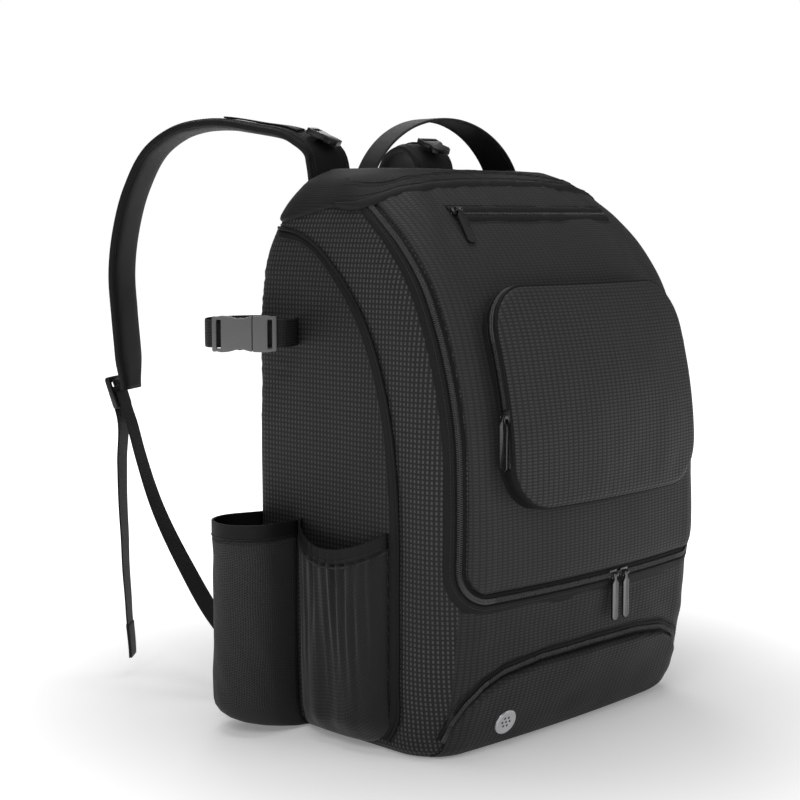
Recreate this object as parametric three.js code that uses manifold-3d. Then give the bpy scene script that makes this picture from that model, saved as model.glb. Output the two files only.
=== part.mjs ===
// A baseball bat backpack: millimetres, +Z up, the front pockets face -Y, the back panel faces +Y.
// The origin is the middle of the flat base. The left side is -X.
import * as THREE from 'three';
import { mergeVertices } from 'three/addons/utils/BufferGeometryUtils.js';
import Module from 'manifold-3d';

const wasm = await Module();
wasm.setup();

// Bag body
const bodyHeight = 522;
const halfWidth = 188;
const frontDepth = 152; // origin to the front corner edge at its deepest
const backDepth = 113;
const frontRadius = 50;
const backRadius = 30;
const shellWall = 2.5;
const seam = 0.3; // gap kept between sewn pieces
const outlineSteps = 3; // facets of each rounded corner
const mergeReach = 1e-4; // corners closer than this are one
const cornerRoom = 2.01; // a side holds its two corner radii and a little more

// Zippers
const zipWidth = 12; // tape that shows between two seams
const coilWidth = 5;
const coilRise = 1.4;
const tapeSink = 1.5; // and this far into it
const frontRise = 0.4; // the tape stands this far out of its slot
const zipEase = 0.9; // between the tape and the seams beside it

// Front flap and the panels round it
const flapFoot = 147;
const flapCorner = 30;
const flapPuff = 3;
const coilDrop = 32; // the coil ends this far below the top
const flapLipPuff = 7; // the foot of the flap stands out over its zipper
const lipShare = 0.1; // of the foot's height, over which the flap swells above it
const shoeTop = 86; // height of the shoe compartment's zipper
const shoeInset = 20; // of the ends of its zipper from the sides
const shoeHalf = halfWidth - shoeInset;
const shoePuff = 8; // its top edge stands out like a lip
const shoeFoot = 4;

// Yoke over the top
const yokeDrop = 12; // its front edge lies this far below the top in the middle
const yokeMiddle = bodyHeight - yokeDrop;
const yokeFall = 40; // and this much lower at its ends
const yokeEnd = yokeMiddle - yokeFall;
const yokeThick = 4;
const rollRadius = 5;
const cheekFront = 8; // the yoke's ends reach down the sides behind this y
const cheekDrop = 32;
const cheekTop = bodyHeight - cheekDrop;
const cheekInset = 70;
const cheekHalf = halfWidth - cheekInset;
const cheekGap = 6; // above the side panel's piping

// Horizontal pocket zipper high on the flap
const topZipDrop = 29; // below the yoke's front edge
const topZipHeight = yokeMiddle - topZipDrop;
const topZipInsetLeft = 84;
const topZipInsetRight = 64;
const topZipLeft = topZipInsetLeft - halfWidth;
const topZipRight = halfWidth - topZipInsetRight;
const topZipWidth = 11;
const topZipProud = 0.8;

// Small pocket on the flap
const pocketInset = 57;
const pocketHalf = halfWidth - pocketInset;
const pocketFoot = 226;
const pocketGap = 69; // from its top to the zipper above it
const pocketTop = topZipHeight - pocketGap;
const pocketCorner = 42;
const pocketRise = 22;
const pocketRim = 0.72; // share of its rise that the pocket has at its rim
const pocketWall = 2;
const pocketZipRise = 12;
const pocketZipWidth = 11;
const pocketZipProud = 1.2;

// Side panel and its piping
const panelRear = 101;
const panelFront = 85; // in front of the origin
const panelDrop = 52;
const panelTop = bodyHeight - panelDrop;
const footFront = 0.35; // share of panelFront where the level foot starts
const heelShare = 0.1; // share of panelRear that the slanted heel takes
const rearTop = 0.95; // shares of panelTop and panelRear where the rear edge meets the arch
const rearShoulder = 0.93;
const panelFoot = 7;
const pipingRadius = 2.4;
const pipingSteps = 19;
const pipingSides = 5;

// Back panel
const padInset = 36;
const padHalf = halfWidth - padInset;
const padFoot = 58;
const padDrop = 62;
const padTop = bodyHeight - padDrop;
const padThick = 11;
const padCorner = 45;
const padBevel = 3;

// Grab handle
const webbing = 1.8; // thickness of every flat webbing
const handleHalf = 104;
const handleY = 48;
const handleRise = 54; // above the top of the body
const handleTop = bodyHeight + handleRise;
const handlePeak = 1.15; // straightens the legs
const handleTwist = 16; // degrees each leg turns with the yoke
const handleWidth = 36;
const handleThick = 2.6;
const handleFoot = 22; // length of each sewn end

// Bat sleeves, with the axis of the space beside the body
const batRadius = 31;
const frontLead = 3; // straight webbing past the plug's end, and past the socket's
const rearLead = 2;
const frontGrip = 0.55; // the webbing reaches in to these shares of half the buckle
const rearGrip = 0.5;
const wallLap = 2; // webbing inside the sleeve's rear line
// The webbing round the back of the loop: degrees round it, and how far out it lies there
const wrapTable = [
  { turn: 22, ease: 6 },
  { turn: 48, ease: 3 },
  { turn: 74, ease: 2 },
  { turn: 100, ease: 1 },
];
const batY = 80;
const sleeveEase = 2.5;
const sleeveWall = 1.5;
const sleeveTop = 200;
const sleeveFoot = 2;
const sleeveRound = 28;
const sleeveRear = 103;
const sleeveFrom = 112; // degrees round the bat, from straight out towards the rear
const sleeveTo = -90;
const sleeveFlat = 0.03; // how far it is open at its foot
const sleeveTurns = 9;
const sleeveRowCount = 5;
const seatGap = 0.6; // between a pocket's edge and the side it is sewn to
const hemHeight = 14;
const hemThick = 2.4;

// Bottle pockets
const bottleRear = 40;
const bottleFront = 74; // in front of the origin
const bottleFoot = 3;
const bottleFootFront = 30; // its foot rises towards the front
const bottleHem = 203;
const bottleDip = 18;
const bottleBulge = 25;
const hemCurve = 0.8; // powers that make the hem's dip, the belly and its foot fuller
const bellyCurve = 0.6;
const footCurve = 0.8;
const footShare = 0.14; // of the pocket's height, in which it reaches its full belly
const bellyFoot = 0.7; // share of its belly that the pocket has at its foot
const bottlePleat = 1.6;
const pleatCount = 6;
const bottleWall = 1.6;
const bottleRowCount = 4;

// Bat straps with side-release buckles
const strapHeight = 376;
const strapWidth = 25;
const buckleAngle = -45; // degrees round the bat, from straight out
const buckleLength = 58;
const buckleWidth = 33;
const buckleThick = 6.5;
const socketShare = 0.62;
const buckleGap = 0.4;
const buckleSlot = 4;
const buckleCorner = 3.5;
const slotEase = 0.8; // a slot is longer than its webbing by this at each end
const buckleSlotInset = 6;
const strapEase = 2.5;
const strapFrontY = 62; // where it is sewn to the side, behind the origin
const strapLap = 10; // length sewn down

// Shoulder straps
const padStrapWidth = 54;
const padStrapThick = 11;
const strapRootX = 75;
const strapReach = 233; // how far the left strap stands out behind the body
const strapRise = 51; // its highest point above the top of the body
const strapTop = bodyHeight + strapRise;
const padEdge = 0.4; // thickness share left at its bound edges
const padFlank = 0.86; // width share at full thickness
const padEndShare = 0.72; // its end is this narrow
const turnStart = 0.15; // the lower webbing turns towards its anchor between these shares
const turnEnd = 0.75;
const barShare = 0.6; // of half the lock, from its middle to where webbing leaves its bar
const lockGrip = [0.75, 0.3]; // of half the lock, where the webbing above it enters
const lockCorner = 4;
const lockLap = 2; // webbing behind the middle of the lock
const turnClear = 4; // webbing runs this far past the lock before it turns
const anchorLap = 0.4; // share of the anchor patch that the webbing lies on
const strapSteps = 20;
const webbingSteps = 20;
const strapClose = 84; // how far the right strap stands out
const tailFoot = 20;
const anchorInset = 40;
const anchorX = halfWidth - anchorInset;
const anchorHeight = 22;
const anchorSize = 40; // width where it leaves the body
const anchorTip = 29;
const anchorLength = 34;
const anchorThick = 2.6;
const lockWidth = 36;
const lockLength = 34;
const lockThick = 5;
const lockSlot = 5;
const lockStand = 9; // how far the lock stands off the pad
const lockDrop = 4;
const lockLean = -18; // degrees, its foot towards the body
const tailSway = 3;
const tailCurl = 12; // height of its bend out of the lock
const tailDrift = 8; // its foot hangs this much nearer the body
const tailTwist = 14; // degrees it turns on its way down
const lockWebShare = 0.09; // of the strap's length
const flatShare = 0.12; // a strap lies flat on the body up to here
const freeShare = 0.34; // and is free of it from here
const leftRail = [4, 7]; // its first and last station along the strap
const rightRail = [5, 9];
const railWidth = 20;
const clipShare = 0.5; // of the rail's length
const clipWidth = 25;
const clipLength = 32;
const clipThick = 6;
const clipSlot = 4;
// Side of the half buckle: shares of its length and of its half width
const clipTable = [
  { along: 0, half: 1 },
  { along: 0.35, half: 1 },
  { along: 0.55, half: 0.7 },
  { along: 0.8, half: 0.9 },
  { along: 1, half: 0.6 },
];
const leftLean = 0.55; // sideways per unit out
const rightLean = 0.1;

// Vent eyelet
const ventRadius = 12.5;
const ventThick = 1.6;
const ventInset = 84;
const ventX = ventInset - halfWidth;
const ventHeight = 29;
const ventHole = 1.1;
const ventHoles = 6;
const ventTurn = 0.3; // of the way between two holes
const ventRing = 4.6; // radius of the ring of holes

// Sliders and pulls
const pinRadius = 0.8;
const pinClearance = 0.35;
const knuckleRadius = 2;
const knuckleWidth = 3.6;
const earThick = 1.3;
const sliderWidth = 8.5;
const sliderLength = 11;
const sliderThick = 1.7;
const earHalf = 2.6;
const roundSides = 6;
const pullWidth = 9;
const pullThick = 2.2;
const pullNeck = 5;
const pullShoulder = 3;
const pullTip = 2.5;
const pullRest = 2.4; // a lying pull's middle above the flap
const mainPull = 43;
const mainSliderLeft = 22;
const mainSliderRight = 39;
const topPull = 38;
const topTurn = -10; // degrees the lying pull turns sideways
const pocketPull = 48;
const pocketSliderHeight = 310;

// Sections of the body from base to top. rise is a share of bodyHeight, half of halfWidth, front and
// crown of frontDepth, back of backDepth, bend of frontRadius and turn of backRadius. zip is where the
// main zipper runs round the front corner, in degrees.
const bodyTable = [
  { rise: 0, half: 0.92, front: 0.74, crown: 0.03, back: 0.9, bend: 0.8, turn: 0.9, zip: 40 },
  { rise: 0.0115, half: 0.965, front: 0.785, crown: 0.03, back: 0.955, bend: 0.85, turn: 1, zip: 40 },
  { rise: 0.034, half: 0.985, front: 0.83, crown: 0.035, back: 0.985, bend: 0.9, turn: 1, zip: 40 },
  { rise: 0.076, half: 0.995, front: 0.88, crown: 0.04, back: 1, bend: 1, turn: 1, zip: 40 },
  { rise: 0.134, half: 1, front: 0.93, crown: 0.05, back: 1, bend: 1, turn: 1, zip: 40 },
  { rise: 0.22, half: 1, front: 0.965, crown: 0.055, back: 1, bend: 1, turn: 1, zip: 40 },
  { rise: 0.458, half: 1, front: 1, crown: 0.065, back: 1, bend: 1, turn: 1, zip: 40 },
  { rise: 0.56, half: 0.998, front: 0.982, crown: 0.072, back: 1, bend: 1, turn: 1, zip: 40 },
  { rise: 0.658, half: 0.996, front: 0.921, crown: 0.08, back: 1, bend: 1, turn: 1, zip: 41 },
  { rise: 0.74, half: 0.991, front: 0.838, crown: 0.086, back: 1, bend: 1, turn: 1, zip: 43 },
  { rise: 0.82, half: 0.977, front: 0.707, crown: 0.092, back: 1, bend: 1, turn: 1.15, zip: 46 },
  { rise: 0.88, half: 0.946, front: 0.551, crown: 0.09, back: 1, bend: 1, turn: 1.35, zip: 53 },
  { rise: 0.926, half: 0.9, front: 0.401, crown: 0.08, back: 0.99, bend: 1.05, turn: 1.6, zip: 63 },
  { rise: 0.96, half: 0.835, front: 0.276, crown: 0.07, back: 0.973, bend: 1.1, turn: 1.85, zip: 73 },
  { rise: 0.985, half: 0.752, front: 0.164, crown: 0.05, back: 0.938, bend: 1.05, turn: 1.9, zip: 80 },
  { rise: 1, half: 0.65, front: 0.053, crown: 0.03, back: 0.867, bend: 0.9, turn: 1.7, zip: 85 },
];

// Edge of the side panel from its rear top, over the arch, down the front: y is a share of panelFront
// towards the front (negative towards the rear), rise of panelTop.
const panelTable = [
  { y: -1.06, rise: 1 },
  { y: -0.68, rise: 0.99 },
  { y: -0.34, rise: 0.965 },
  { y: 0, rise: 0.922 },
  { y: 0.3, rise: 0.87 },
  { y: 0.57, rise: 0.8 },
  { y: 0.75, rise: 0.725 },
  { y: 0.88, rise: 0.64 },
  { y: 0.96, rise: 0.545 },
  { y: 1, rise: 0.44 },
  { y: 1, rise: 0.306 },
  { y: 1, rise: 0.153 },
  { y: 0.97, rise: 0.068 },
  { y: 0.8, rise: 0.026 },
];

// Line of the shoe compartment's zipper: x is a share of shoeHalf, rise of shoeTop
const shoeTable = [
  { x: 1, rise: 0 },
  { x: 0.995, rise: 0.2 },
  { x: 0.97, rise: 0.42 },
  { x: 0.92, rise: 0.63 },
  { x: 0.84, rise: 0.79 },
  { x: 0.7, rise: 0.91 },
  { x: 0.42, rise: 0.985 },
  { x: 0, rise: 1 },
];

// Centre line of the left shoulder strap: out is a share of strapReach, rise of strapTop
const leftStrapTable = [
  { out: 0.031, rise: 0.822 },
  { out: 0.031, rise: 0.87 },
  { out: 0.032, rise: 0.91 },
  { out: 0.055, rise: 0.947 },
  { out: 0.15, rise: 0.974 },
  { out: 0.33, rise: 0.99 },
  { out: 0.54, rise: 1 },
  { out: 0.7, rise: 0.988 },
  { out: 0.82, rise: 0.957 },
  { out: 0.92, rise: 0.89 },
  { out: 0.975, rise: 0.817 },
  { out: 1, rise: 0.735 },
  { out: 0.992, rise: 0.672 },
  { out: 0.978, rise: 0.6 },
  { out: 0.966, rise: 0.53 },
];

// Centre line of the right shoulder strap, which hangs close to the back: out is a share of strapClose
const rightStrapTable = [
  { out: 0.094, rise: 0.822 },
  { out: 0.094, rise: 0.87 },
  { out: 0.098, rise: 0.905 },
  { out: 0.16, rise: 0.94 },
  { out: 0.36, rise: 0.963 },
  { out: 0.64, rise: 0.955 },
  { out: 0.86, rise: 0.915 },
  { out: 0.97, rise: 0.84 },
  { out: 1, rise: 0.75 },
  { out: 0.99, rise: 0.66 },
  { out: 0.95, rise: 0.58 },
  { out: 0.91, rise: 0.515 },
];

// Lower webbing of each shoulder strap, from the lock to the anchor: out is a share of the way
// out from the anchor, drop of the height from the lock to the anchor
const lowerTable = [
  { out: 0.93, drop: 0.13 },
  { out: 0.885, drop: 0.23 },
  { out: 0.79, drop: 0.405 },
  { out: 0.59, drop: 0.644 },
  { out: 0.42, drop: 0.806 },
  { out: 0.21, drop: 0.92 },
];

// Front edge of the yoke: x is a share of halfWidth, lift of the way from yokeEnd up to yokeMiddle
const yokeTable = [
  { x: 0, lift: 1 },
  { x: 0.28, lift: 0.98 },
  { x: 0.52, lift: 0.92 },
  { x: 0.72, lift: 0.78 },
  { x: 0.84, lift: 0.57 },
  { x: 0.9, lift: 0.44 },
  { x: 1.2, lift: 0.3 },
];

const radians = THREE.MathUtils.degToRad;
const lerp = THREE.MathUtils.lerp;
const clamp = THREE.MathUtils.clamp;
const vec = (x, y, z) => new THREE.Vector3(x, y, z);

// Geometry helpers

// Closed body from shared points and triangles, turned so that its faces point out
function closedBody(points, faces) {
  let volume = 0;
  for (let i = 0; i < faces.length; i += 3) {
    const [a, b, c] = [points[faces[i]], points[faces[i + 1]], points[faces[i + 2]]];
    volume += a.dot(b.clone().cross(c));
  }
  if (volume < 0) faces.reverse();
  const geometry = new THREE.BufferGeometry();
  const places = points.flatMap((p) => p.toArray());
  geometry.setAttribute('position', new THREE.Float32BufferAttribute(places, 3));
  geometry.setIndex(faces);
  return geometry;
}

// Body through rings of equal length, capped at both ends unless it closes on itself
function loft(rings, closed = false) {
  const points = rings.flat();
  const count = rings[0].length;
  const faces = [];
  const spans = closed ? rings.length : rings.length - 1;
  for (let r = 0; r < spans; r += 1) {
    const next = (r + 1) % rings.length;
    for (let i = 0; i < count; i += 1) {
      const j = (i + 1) % count;
      const [a, b, c, d] = [r * count + i, r * count + j, next * count + j, next * count + i];
      faces.push(a, b, c, a, c, d);
    }
  }
  if (!closed) {
    for (const [ring, turn] of [[0, true], [rings.length - 1, false]]) {
      const middle = points.length;
      points.push(rings[ring].reduce((sum, p) => sum.add(p), vec(0, 0, 0)).divideScalar(count));
      for (let i = 0; i < count; i += 1) {
        const a = ring * count + i;
        const b = ring * count + (i + 1) % count;
        faces.push(middle, turn ? b : a, turn ? a : b);
      }
    }
  }
  return closedBody(points, faces);
}

// Thin sheet between two grids of rows
function sheet(outer, inner) {
  const across = outer[0].length;
  const points = [...outer.flat(), ...inner.flat()];
  const shift = outer.length * across;
  const faces = [];
  const quad = (a, b, c, d) => faces.push(a, b, c, a, c, d);
  const last = outer.length - 1;
  for (let r = 0; r < last; r += 1) {
    for (let i = 0; i < across - 1; i += 1) {
      const a = r * across + i;
      quad(a, a + 1, a + across + 1, a + across);
      quad(shift + a + across, shift + a + across + 1, shift + a + 1, shift + a);
    }
    const [left, right] = [r * across, r * across + across - 1];
    quad(left + across, shift + left + across, shift + left, left);
    quad(right, shift + right, shift + right + across, right + across);
  }
  for (let i = 0; i < across - 1; i += 1) {
    const top = last * across + i;
    quad(i + 1, i, shift + i, shift + i + 1);
    quad(top, top + 1, shift + top + 1, shift + top);
  }
  return closedBody(points, faces);
}

// Bar along stations of a place and a normal. The section's points are [sideways, outwards].
function bar(stations, section, closed = false) {
  const rings = stations.map((station, i) => {
    const before = stations[closed ? (i + stations.length - 1) % stations.length : Math.max(i - 1, 0)];
    const after = stations[closed ? (i + 1) % stations.length : Math.min(i + 1, stations.length - 1)];
    const along = after.at.clone().sub(before.at).normalize();
    const side = along.clone().cross(station.normal).normalize();
    const out = side.clone().cross(along).normalize();
    const scale = station.scale ?? 1;
    return section.map(([sideways, outwards]) => {
      const point = station.at.clone().addScaledVector(side, sideways * scale);
      return point.addScaledVector(out, outwards);
    });
  });
  return loft(rings, closed);
}

const flat = (width, lift, thick) => [
  [-width / 2, lift],
  [width / 2, lift],
  [width / 2, lift + thick],
  [-width / 2, lift + thick],
];

// Section of a zipper: two flat tapes with the coil standing up between them
const zipSection = (width, lift, thick) => [
  [-width / 2, lift],
  [width / 2, lift],
  [width / 2, lift + thick],
  [coilWidth / 2, lift + thick],
  [coilWidth / 2, lift + thick + coilRise],
  [-coilWidth / 2, lift + thick + coilRise],
  [-coilWidth / 2, lift + thick],
  [-width / 2, lift + thick],
];

// Round rod along a line of points
function rod(line, radius, sides = 6, closed = false) {
  const up = vec(0, 0, 1);
  const rings = line.map((at, i) => {
    const before = line[closed ? (i + line.length - 1) % line.length : Math.max(i - 1, 0)];
    const after = line[closed ? (i + 1) % line.length : Math.min(i + 1, line.length - 1)];
    const along = after.clone().sub(before).normalize();
    const hint = Math.abs(along.z) > 0.95 ? vec(1, 0, 0) : up;
    const side = along.clone().cross(hint).normalize();
    const out = side.clone().cross(along);
    return Array.from({ length: sides }, (_, k) => {
      const turn = (k + 0.5) * 2 * Math.PI / sides;
      const ray = side.clone().multiplyScalar(Math.cos(turn)).addScaledVector(out, Math.sin(turn));
      return at.clone().addScaledVector(ray, radius);
    });
  });
  return loft(rings, closed);
}

// Prism of a flat outline: its first axis, second axis and depth become the three given directions
function prism(outline, depth, across, up, away, start) {
  const shape = outline instanceof THREE.Shape ? outline : new THREE.Shape(outline);
  const options = { depth, bevelEnabled: false, curveSegments: outlineSteps };
  const geometry = new THREE.ExtrudeGeometry(shape, options);
  geometry.applyMatrix4(new THREE.Matrix4().makeBasis(across, up, away).setPosition(start));
  return geometry;
}

// Prisms that run along the y and the x axis, between two places on it
function alongY(outline, from, to) {
  return prism(outline, to - from, vec(1, 0, 0), vec(0, 0, 1), vec(0, -1, 0), vec(0, to, 0));
}

function alongX(outline, from, to) {
  return prism(outline, to - from, vec(0, 1, 0), vec(0, 0, 1), vec(1, 0, 0), vec(from, 0, 0));
}

// Copy with positions alone, so that equal corners can be merged
function stripped(geometry) {
  const plain = geometry.clone();
  plain.deleteAttribute('normal');
  plain.deleteAttribute('uv');
  return plain;
}

function solid(geometry) {
  const merged = mergeVertices(stripped(geometry), mergeReach);
  return new wasm.Manifold(new wasm.Mesh({
    numProp: 3,
    vertProperties: new Float32Array(merged.attributes.position.array),
    triVerts: new Uint32Array(merged.index.array),
  }));
}

function surface(body) {
  const mesh = body.getMesh();
  const geometry = new THREE.BufferGeometry();
  geometry.setAttribute('position', new THREE.Float32BufferAttribute(mesh.vertProperties, 3));
  geometry.setIndex(Array.from(mesh.triVerts));
  return geometry;
}

function mirrored(geometry) {
  const copy = geometry.clone();
  const position = copy.attributes.position;
  for (let i = 0; i < position.count; i += 1) position.setX(i, -position.getX(i));
  copy.setIndex(Array.from(copy.index.array).reverse());
  return copy;
}

// Copy with its faces turned the other way
function flipped(geometry) {
  const copy = mergeVertices(stripped(geometry), mergeReach);
  copy.setIndex(Array.from(copy.index.array).reverse());
  return copy;
}

// Rounded rectangle from (left, low) to (right, high)
function roundedBox(left, low, right, high, radius) {
  const r = Math.min(radius, (right - left) / cornerRoom, (high - low) / cornerRoom);
  const centres = [
    [right - r, low + r],
    [right - r, high - r],
    [left + r, high - r],
    [left + r, low + r],
  ];
  const points = [];
  centres.forEach(([x, y], corner) => {
    for (let i = 0; i <= outlineSteps; i += 1) {
      const turn = Math.PI / 2 * (corner - 1 + i / outlineSteps);
      points.push(new THREE.Vector2(x + r * Math.cos(turn), y + r * Math.sin(turn)));
    }
  });
  return new THREE.Shape(points);
}

const rectangle = (left, low, right, high) => [
  new THREE.Vector2(left, low),
  new THREE.Vector2(right, low),
  new THREE.Vector2(right, high),
  new THREE.Vector2(left, high),
];

// Cuts a rectangular hole into a shape
function slotIn(shape, left, low, right, high) {
  shape.holes.push(new THREE.Path(rectangle(left, low, right, high).reverse()));
}

// Form of the body

// Section at a height, with its real lengths
function sectionAt(z) {
  const rise = clamp(z / bodyHeight, 0, 1);
  const upper = Math.max(1, bodyTable.findIndex((row) => row.rise >= rise));
  const [low, high] = [bodyTable[upper - 1], bodyTable[upper]];
  const share = (rise - low.rise) / (high.rise - low.rise);
  const value = (name) => lerp(low[name], high[name], share);
  const front = value('front') * frontDepth;
  const back = value('back') * backDepth;
  const half = value('half') * halfWidth;
  const limit = 0.48 * (front + back);
  return {
    z,
    half,
    front,
    back,
    crown: value('crown') * frontDepth,
    frontCorner: Math.min(value('bend') * frontRadius, limit, half),
    backCorner: Math.min(value('turn') * backRadius, limit, half),
    zipTurn: radians(value('zip')),
  };
}

// Point of a section at a distance past the start of its front corner, on the +X side
function pastCorner(section, distance) {
  const flat = section.half - section.frontCorner;
  const turn = distance / section.frontCorner;
  if (turn < 0) {
    const x = flat + distance;
    return vec(x, -section.front - section.crown * (1 - (x / flat) ** 2), section.z);
  }
  const x = flat + section.frontCorner * Math.sin(Math.min(turn, Math.PI / 2));
  const y = -section.front + section.frontCorner * (1 - Math.cos(Math.min(turn, Math.PI / 2)));
  return vec(x, y + Math.max(0, distance - section.frontCorner * Math.PI / 2), section.z);
}

const sectionSteps = { front: 3, corner: 4, side: 1, backCorner: 3, back: 1 };

// Closed outline of a section, from the middle of the front round the +X side
function sectionRing(section) {
  const { half, front, back, crown, frontCorner, backCorner, z } = section;
  const ring = [];
  const flat = half - frontCorner;
  for (let i = 0; i < sectionSteps.front; i += 1) {
    const x = flat * i / sectionSteps.front;
    ring.push(vec(x, -front - crown * (1 - (x / flat) ** 2), z));
  }
  for (let i = 0; i < sectionSteps.corner; i += 1) {
    const turn = Math.PI / 2 * i / sectionSteps.corner;
    ring.push(vec(flat + frontCorner * Math.sin(turn), -front + frontCorner * (1 - Math.cos(turn)), z));
  }
  for (let i = 0; i < sectionSteps.side; i += 1) {
    ring.push(vec(half, lerp(-front + frontCorner, back - backCorner, i / sectionSteps.side), z));
  }
  for (let i = 0; i < sectionSteps.backCorner; i += 1) {
    const turn = Math.PI / 2 * i / sectionSteps.backCorner;
    ring.push(vec(half - backCorner * (1 - Math.cos(turn)), back - backCorner * (1 - Math.sin(turn)), z));
  }
  for (let i = 0; i < sectionSteps.back; i += 1) {
    ring.push(vec((half - backCorner) * (1 - i / sectionSteps.back), back, z));
  }
  const other = ring.slice(1).reverse().map((p) => vec(-p.x, p.y, p.z));
  return [...ring, vec(0, back, z), ...other];
}

const bodyRings = bodyTable.map((row) => sectionRing(sectionAt(row.rise * bodyHeight)));
const lastRing = bodyRings.length - 1;
const edgeShare = 0.6; // how much of an offset the rims of base and top take sideways

// Outward direction of the body at a point of its grid
function ringNormal(r, i) {
  const ring = bodyRings[r];
  const count = ring.length;
  const round = ring[(i + 1) % count].clone().sub(ring[(i + count - 1) % count]);
  const rising = r === 0 || r === lastRing
    ? vec(0, 0, 1)
    : bodyRings[r + 1][i].clone().sub(bodyRings[r - 1][i]);
  return round.cross(rising).normalize();
}

// Filled body with its surface moved out by an offset, a number or a function of the point
function bodyForm(offset) {
  const amount = typeof offset === 'number' ? () => offset : offset;
  const rings = bodyRings.map((ring, r) => ring.map((point, i) => {
    const rim = r === 0 || r === lastRing;
    const reach = amount(point);
    const moved = point.clone().addScaledVector(ringNormal(r, i), rim ? edgeShare * reach : reach);
    if (rim) moved.z = r === 0 ? -reach : bodyHeight + reach;
    return moved;
  }));
  return solid(loft(rings));
}

// Surface y of the front, and surface x of the side, from the same outline as the body
function crossing(z, value, axis, other, keep) {
  const ring = sectionRing(sectionAt(z));
  for (let i = 0; i < ring.length; i += 1) {
    const [a, b] = [ring[i], ring[(i + 1) % ring.length]];
    const inside = (a[axis] - value) * (b[axis] - value) <= 0 && a[axis] !== b[axis];
    if (inside && keep(a) && keep(b)) {
      return lerp(a[other], b[other], (value - a[axis]) / (b[axis] - a[axis]));
    }
  }
  return undefined;
}

function frontPoint(x, z) {
  const section = sectionAt(z);
  const middle = (section.back - section.front) / 2;
  return vec(x, crossing(z, x, 'x', 'y', (p) => p.y < middle + 1), z);
}

function sidePoint(y, z) {
  return vec(crossing(z, y, 'y', 'x', (p) => p.x > 0), y, z);
}

// Outward direction of the surface found by a function of two numbers
function normalOf(find, a, b) {
  const step = 2;
  const one = find(a + step, b).sub(find(a - step, b));
  const two = find(a, b + step).sub(find(a, b - step));
  const normal = one.cross(two).normalize();
  const outward = find(a, b).sub(vec(0, 0, bodyHeight / 2));
  return normal.dot(outward) < 0 ? normal.negate() : normal;
}

// Region inside the main zipper's line, as a wedge from a spine inside the body. grow widens it.
const spineY = 60;
const wedgeReach = 3;
const cornerRows = 5;

function wedge(grow, foot, top, footCorner) {
  const heights = [];
  for (let i = 0; i <= cornerRows; i += 1) {
    heights.push(foot + footCorner * (1 - Math.cos(Math.PI / 2 * i / cornerRows)));
  }
  for (const row of bodyTable) {
    const z = row.rise * bodyHeight;
    if (z > foot + footCorner + 1 && z < top - 1) heights.push(z);
  }
  heights.push(top);
  const rings = heights.map((z) => {
    const section = sectionAt(z);
    const lift = Math.max(0, foot + footCorner - z);
    const inset = footCorner ? footCorner - Math.sqrt(Math.max(0, footCorner ** 2 - lift ** 2)) : 0;
    const right = pastCorner(section, section.zipTurn * section.frontCorner + grow - inset);
    const out = vec(0, spineY, z).add(right.clone().sub(vec(0, spineY, z)).multiplyScalar(wedgeReach));
    const left = vec(-right.x, right.y, z);
    return [vec(0, spineY, z), right, vec(out.x, out.y, z), vec(-out.x, out.y, z), left];
  });
  return solid(loft(rings));
}

// Region below the shoe compartment's zipper
function shoeRegion(grow) {
  const side = shoeTable.map((row) => new THREE.Vector2(
    row.x * shoeHalf + grow * (1 - row.rise ** 4),
    shoeFoot + row.rise * (shoeTop - shoeFoot) + grow * row.rise,
  ));
  const other = side.slice(0, -1).reverse().map((p) => new THREE.Vector2(-p.x, p.y));
  side[0].y = shoeFoot - Math.max(0, grow);
  other[other.length - 1].y = side[0].y;
  return solid(alongY([...other.reverse(), ...side.reverse()].reverse(), -2 * frontDepth, -frontDepth * 0.3));
}

function panelOutline(grow) {
  const middle = new THREE.Vector2(0, panelTop / 2);
  const arch = panelTable.map((row) => new THREE.Vector2(-row.y * panelFront, row.rise * panelTop));
  const foot = [
    new THREE.Vector2(-panelFront * footFront, panelFoot),
    new THREE.Vector2(panelRear * (1 - heelShare), panelFoot),
    new THREE.Vector2(panelRear, panelFoot + panelRear * heelShare),
    new THREE.Vector2(panelRear, panelTop * rearTop),
  ];
  arch[0].x = panelRear * rearShoulder;
  const line = [...arch, ...foot];
  return line.map((point) => {
    const ray = point.clone().sub(middle);
    return point.clone().addScaledVector(ray.clone().normalize(), grow);
  });
}

// Everything above the yoke's front edge, which is lowered by drop
function roofRegion(drop) {
  const half = yokeTable.map((row) => new THREE.Vector2(
    row.x * halfWidth,
    lerp(yokeEnd, yokeMiddle, row.lift) - drop,
  ));
  const line = [...half.slice(1).reverse().map((p) => new THREE.Vector2(-p.x, p.y)), ...half];
  const roof = 2 * bodyHeight;
  const over = [...line, new THREE.Vector2(2 * halfWidth, roof), new THREE.Vector2(-2 * halfWidth, roof)];
  return { line, region: solid(alongY(over, -frontDepth, 2 * backDepth)) };
}

const tape = zipWidth / 2;
const body = bodyForm(0);
const hollow = bodyForm(-shellWall);
const shell = body.subtract(hollow);
const shellRoof = roofRegion(rollRadius).region;
const panelRoof = roofRegion(rollRadius + seam).region;
const flapWedge = (grow) => wedge(grow, flapFoot - grow, bodyHeight - 1, flapCorner + grow);
const flapOpening = flapWedge(tape).subtract(shellRoof);
const flapRegion = flapWedge(-tape).subtract(panelRoof);
const shoeOpening = shoeRegion(tape);

// Outer offset of the flap: it puffs out inside its edge and most at its foot
function flapOffset(point) {
  const foot = clamp((point.z - flapFoot) / (flapFoot * lipShare), 0, 1);
  const lip = clamp(1 - (point.z - flapFoot) / (pocketFoot - flapFoot), 0, 1);
  return foot * (flapPuff + (flapLipPuff - flapPuff) * lip);
}

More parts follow.
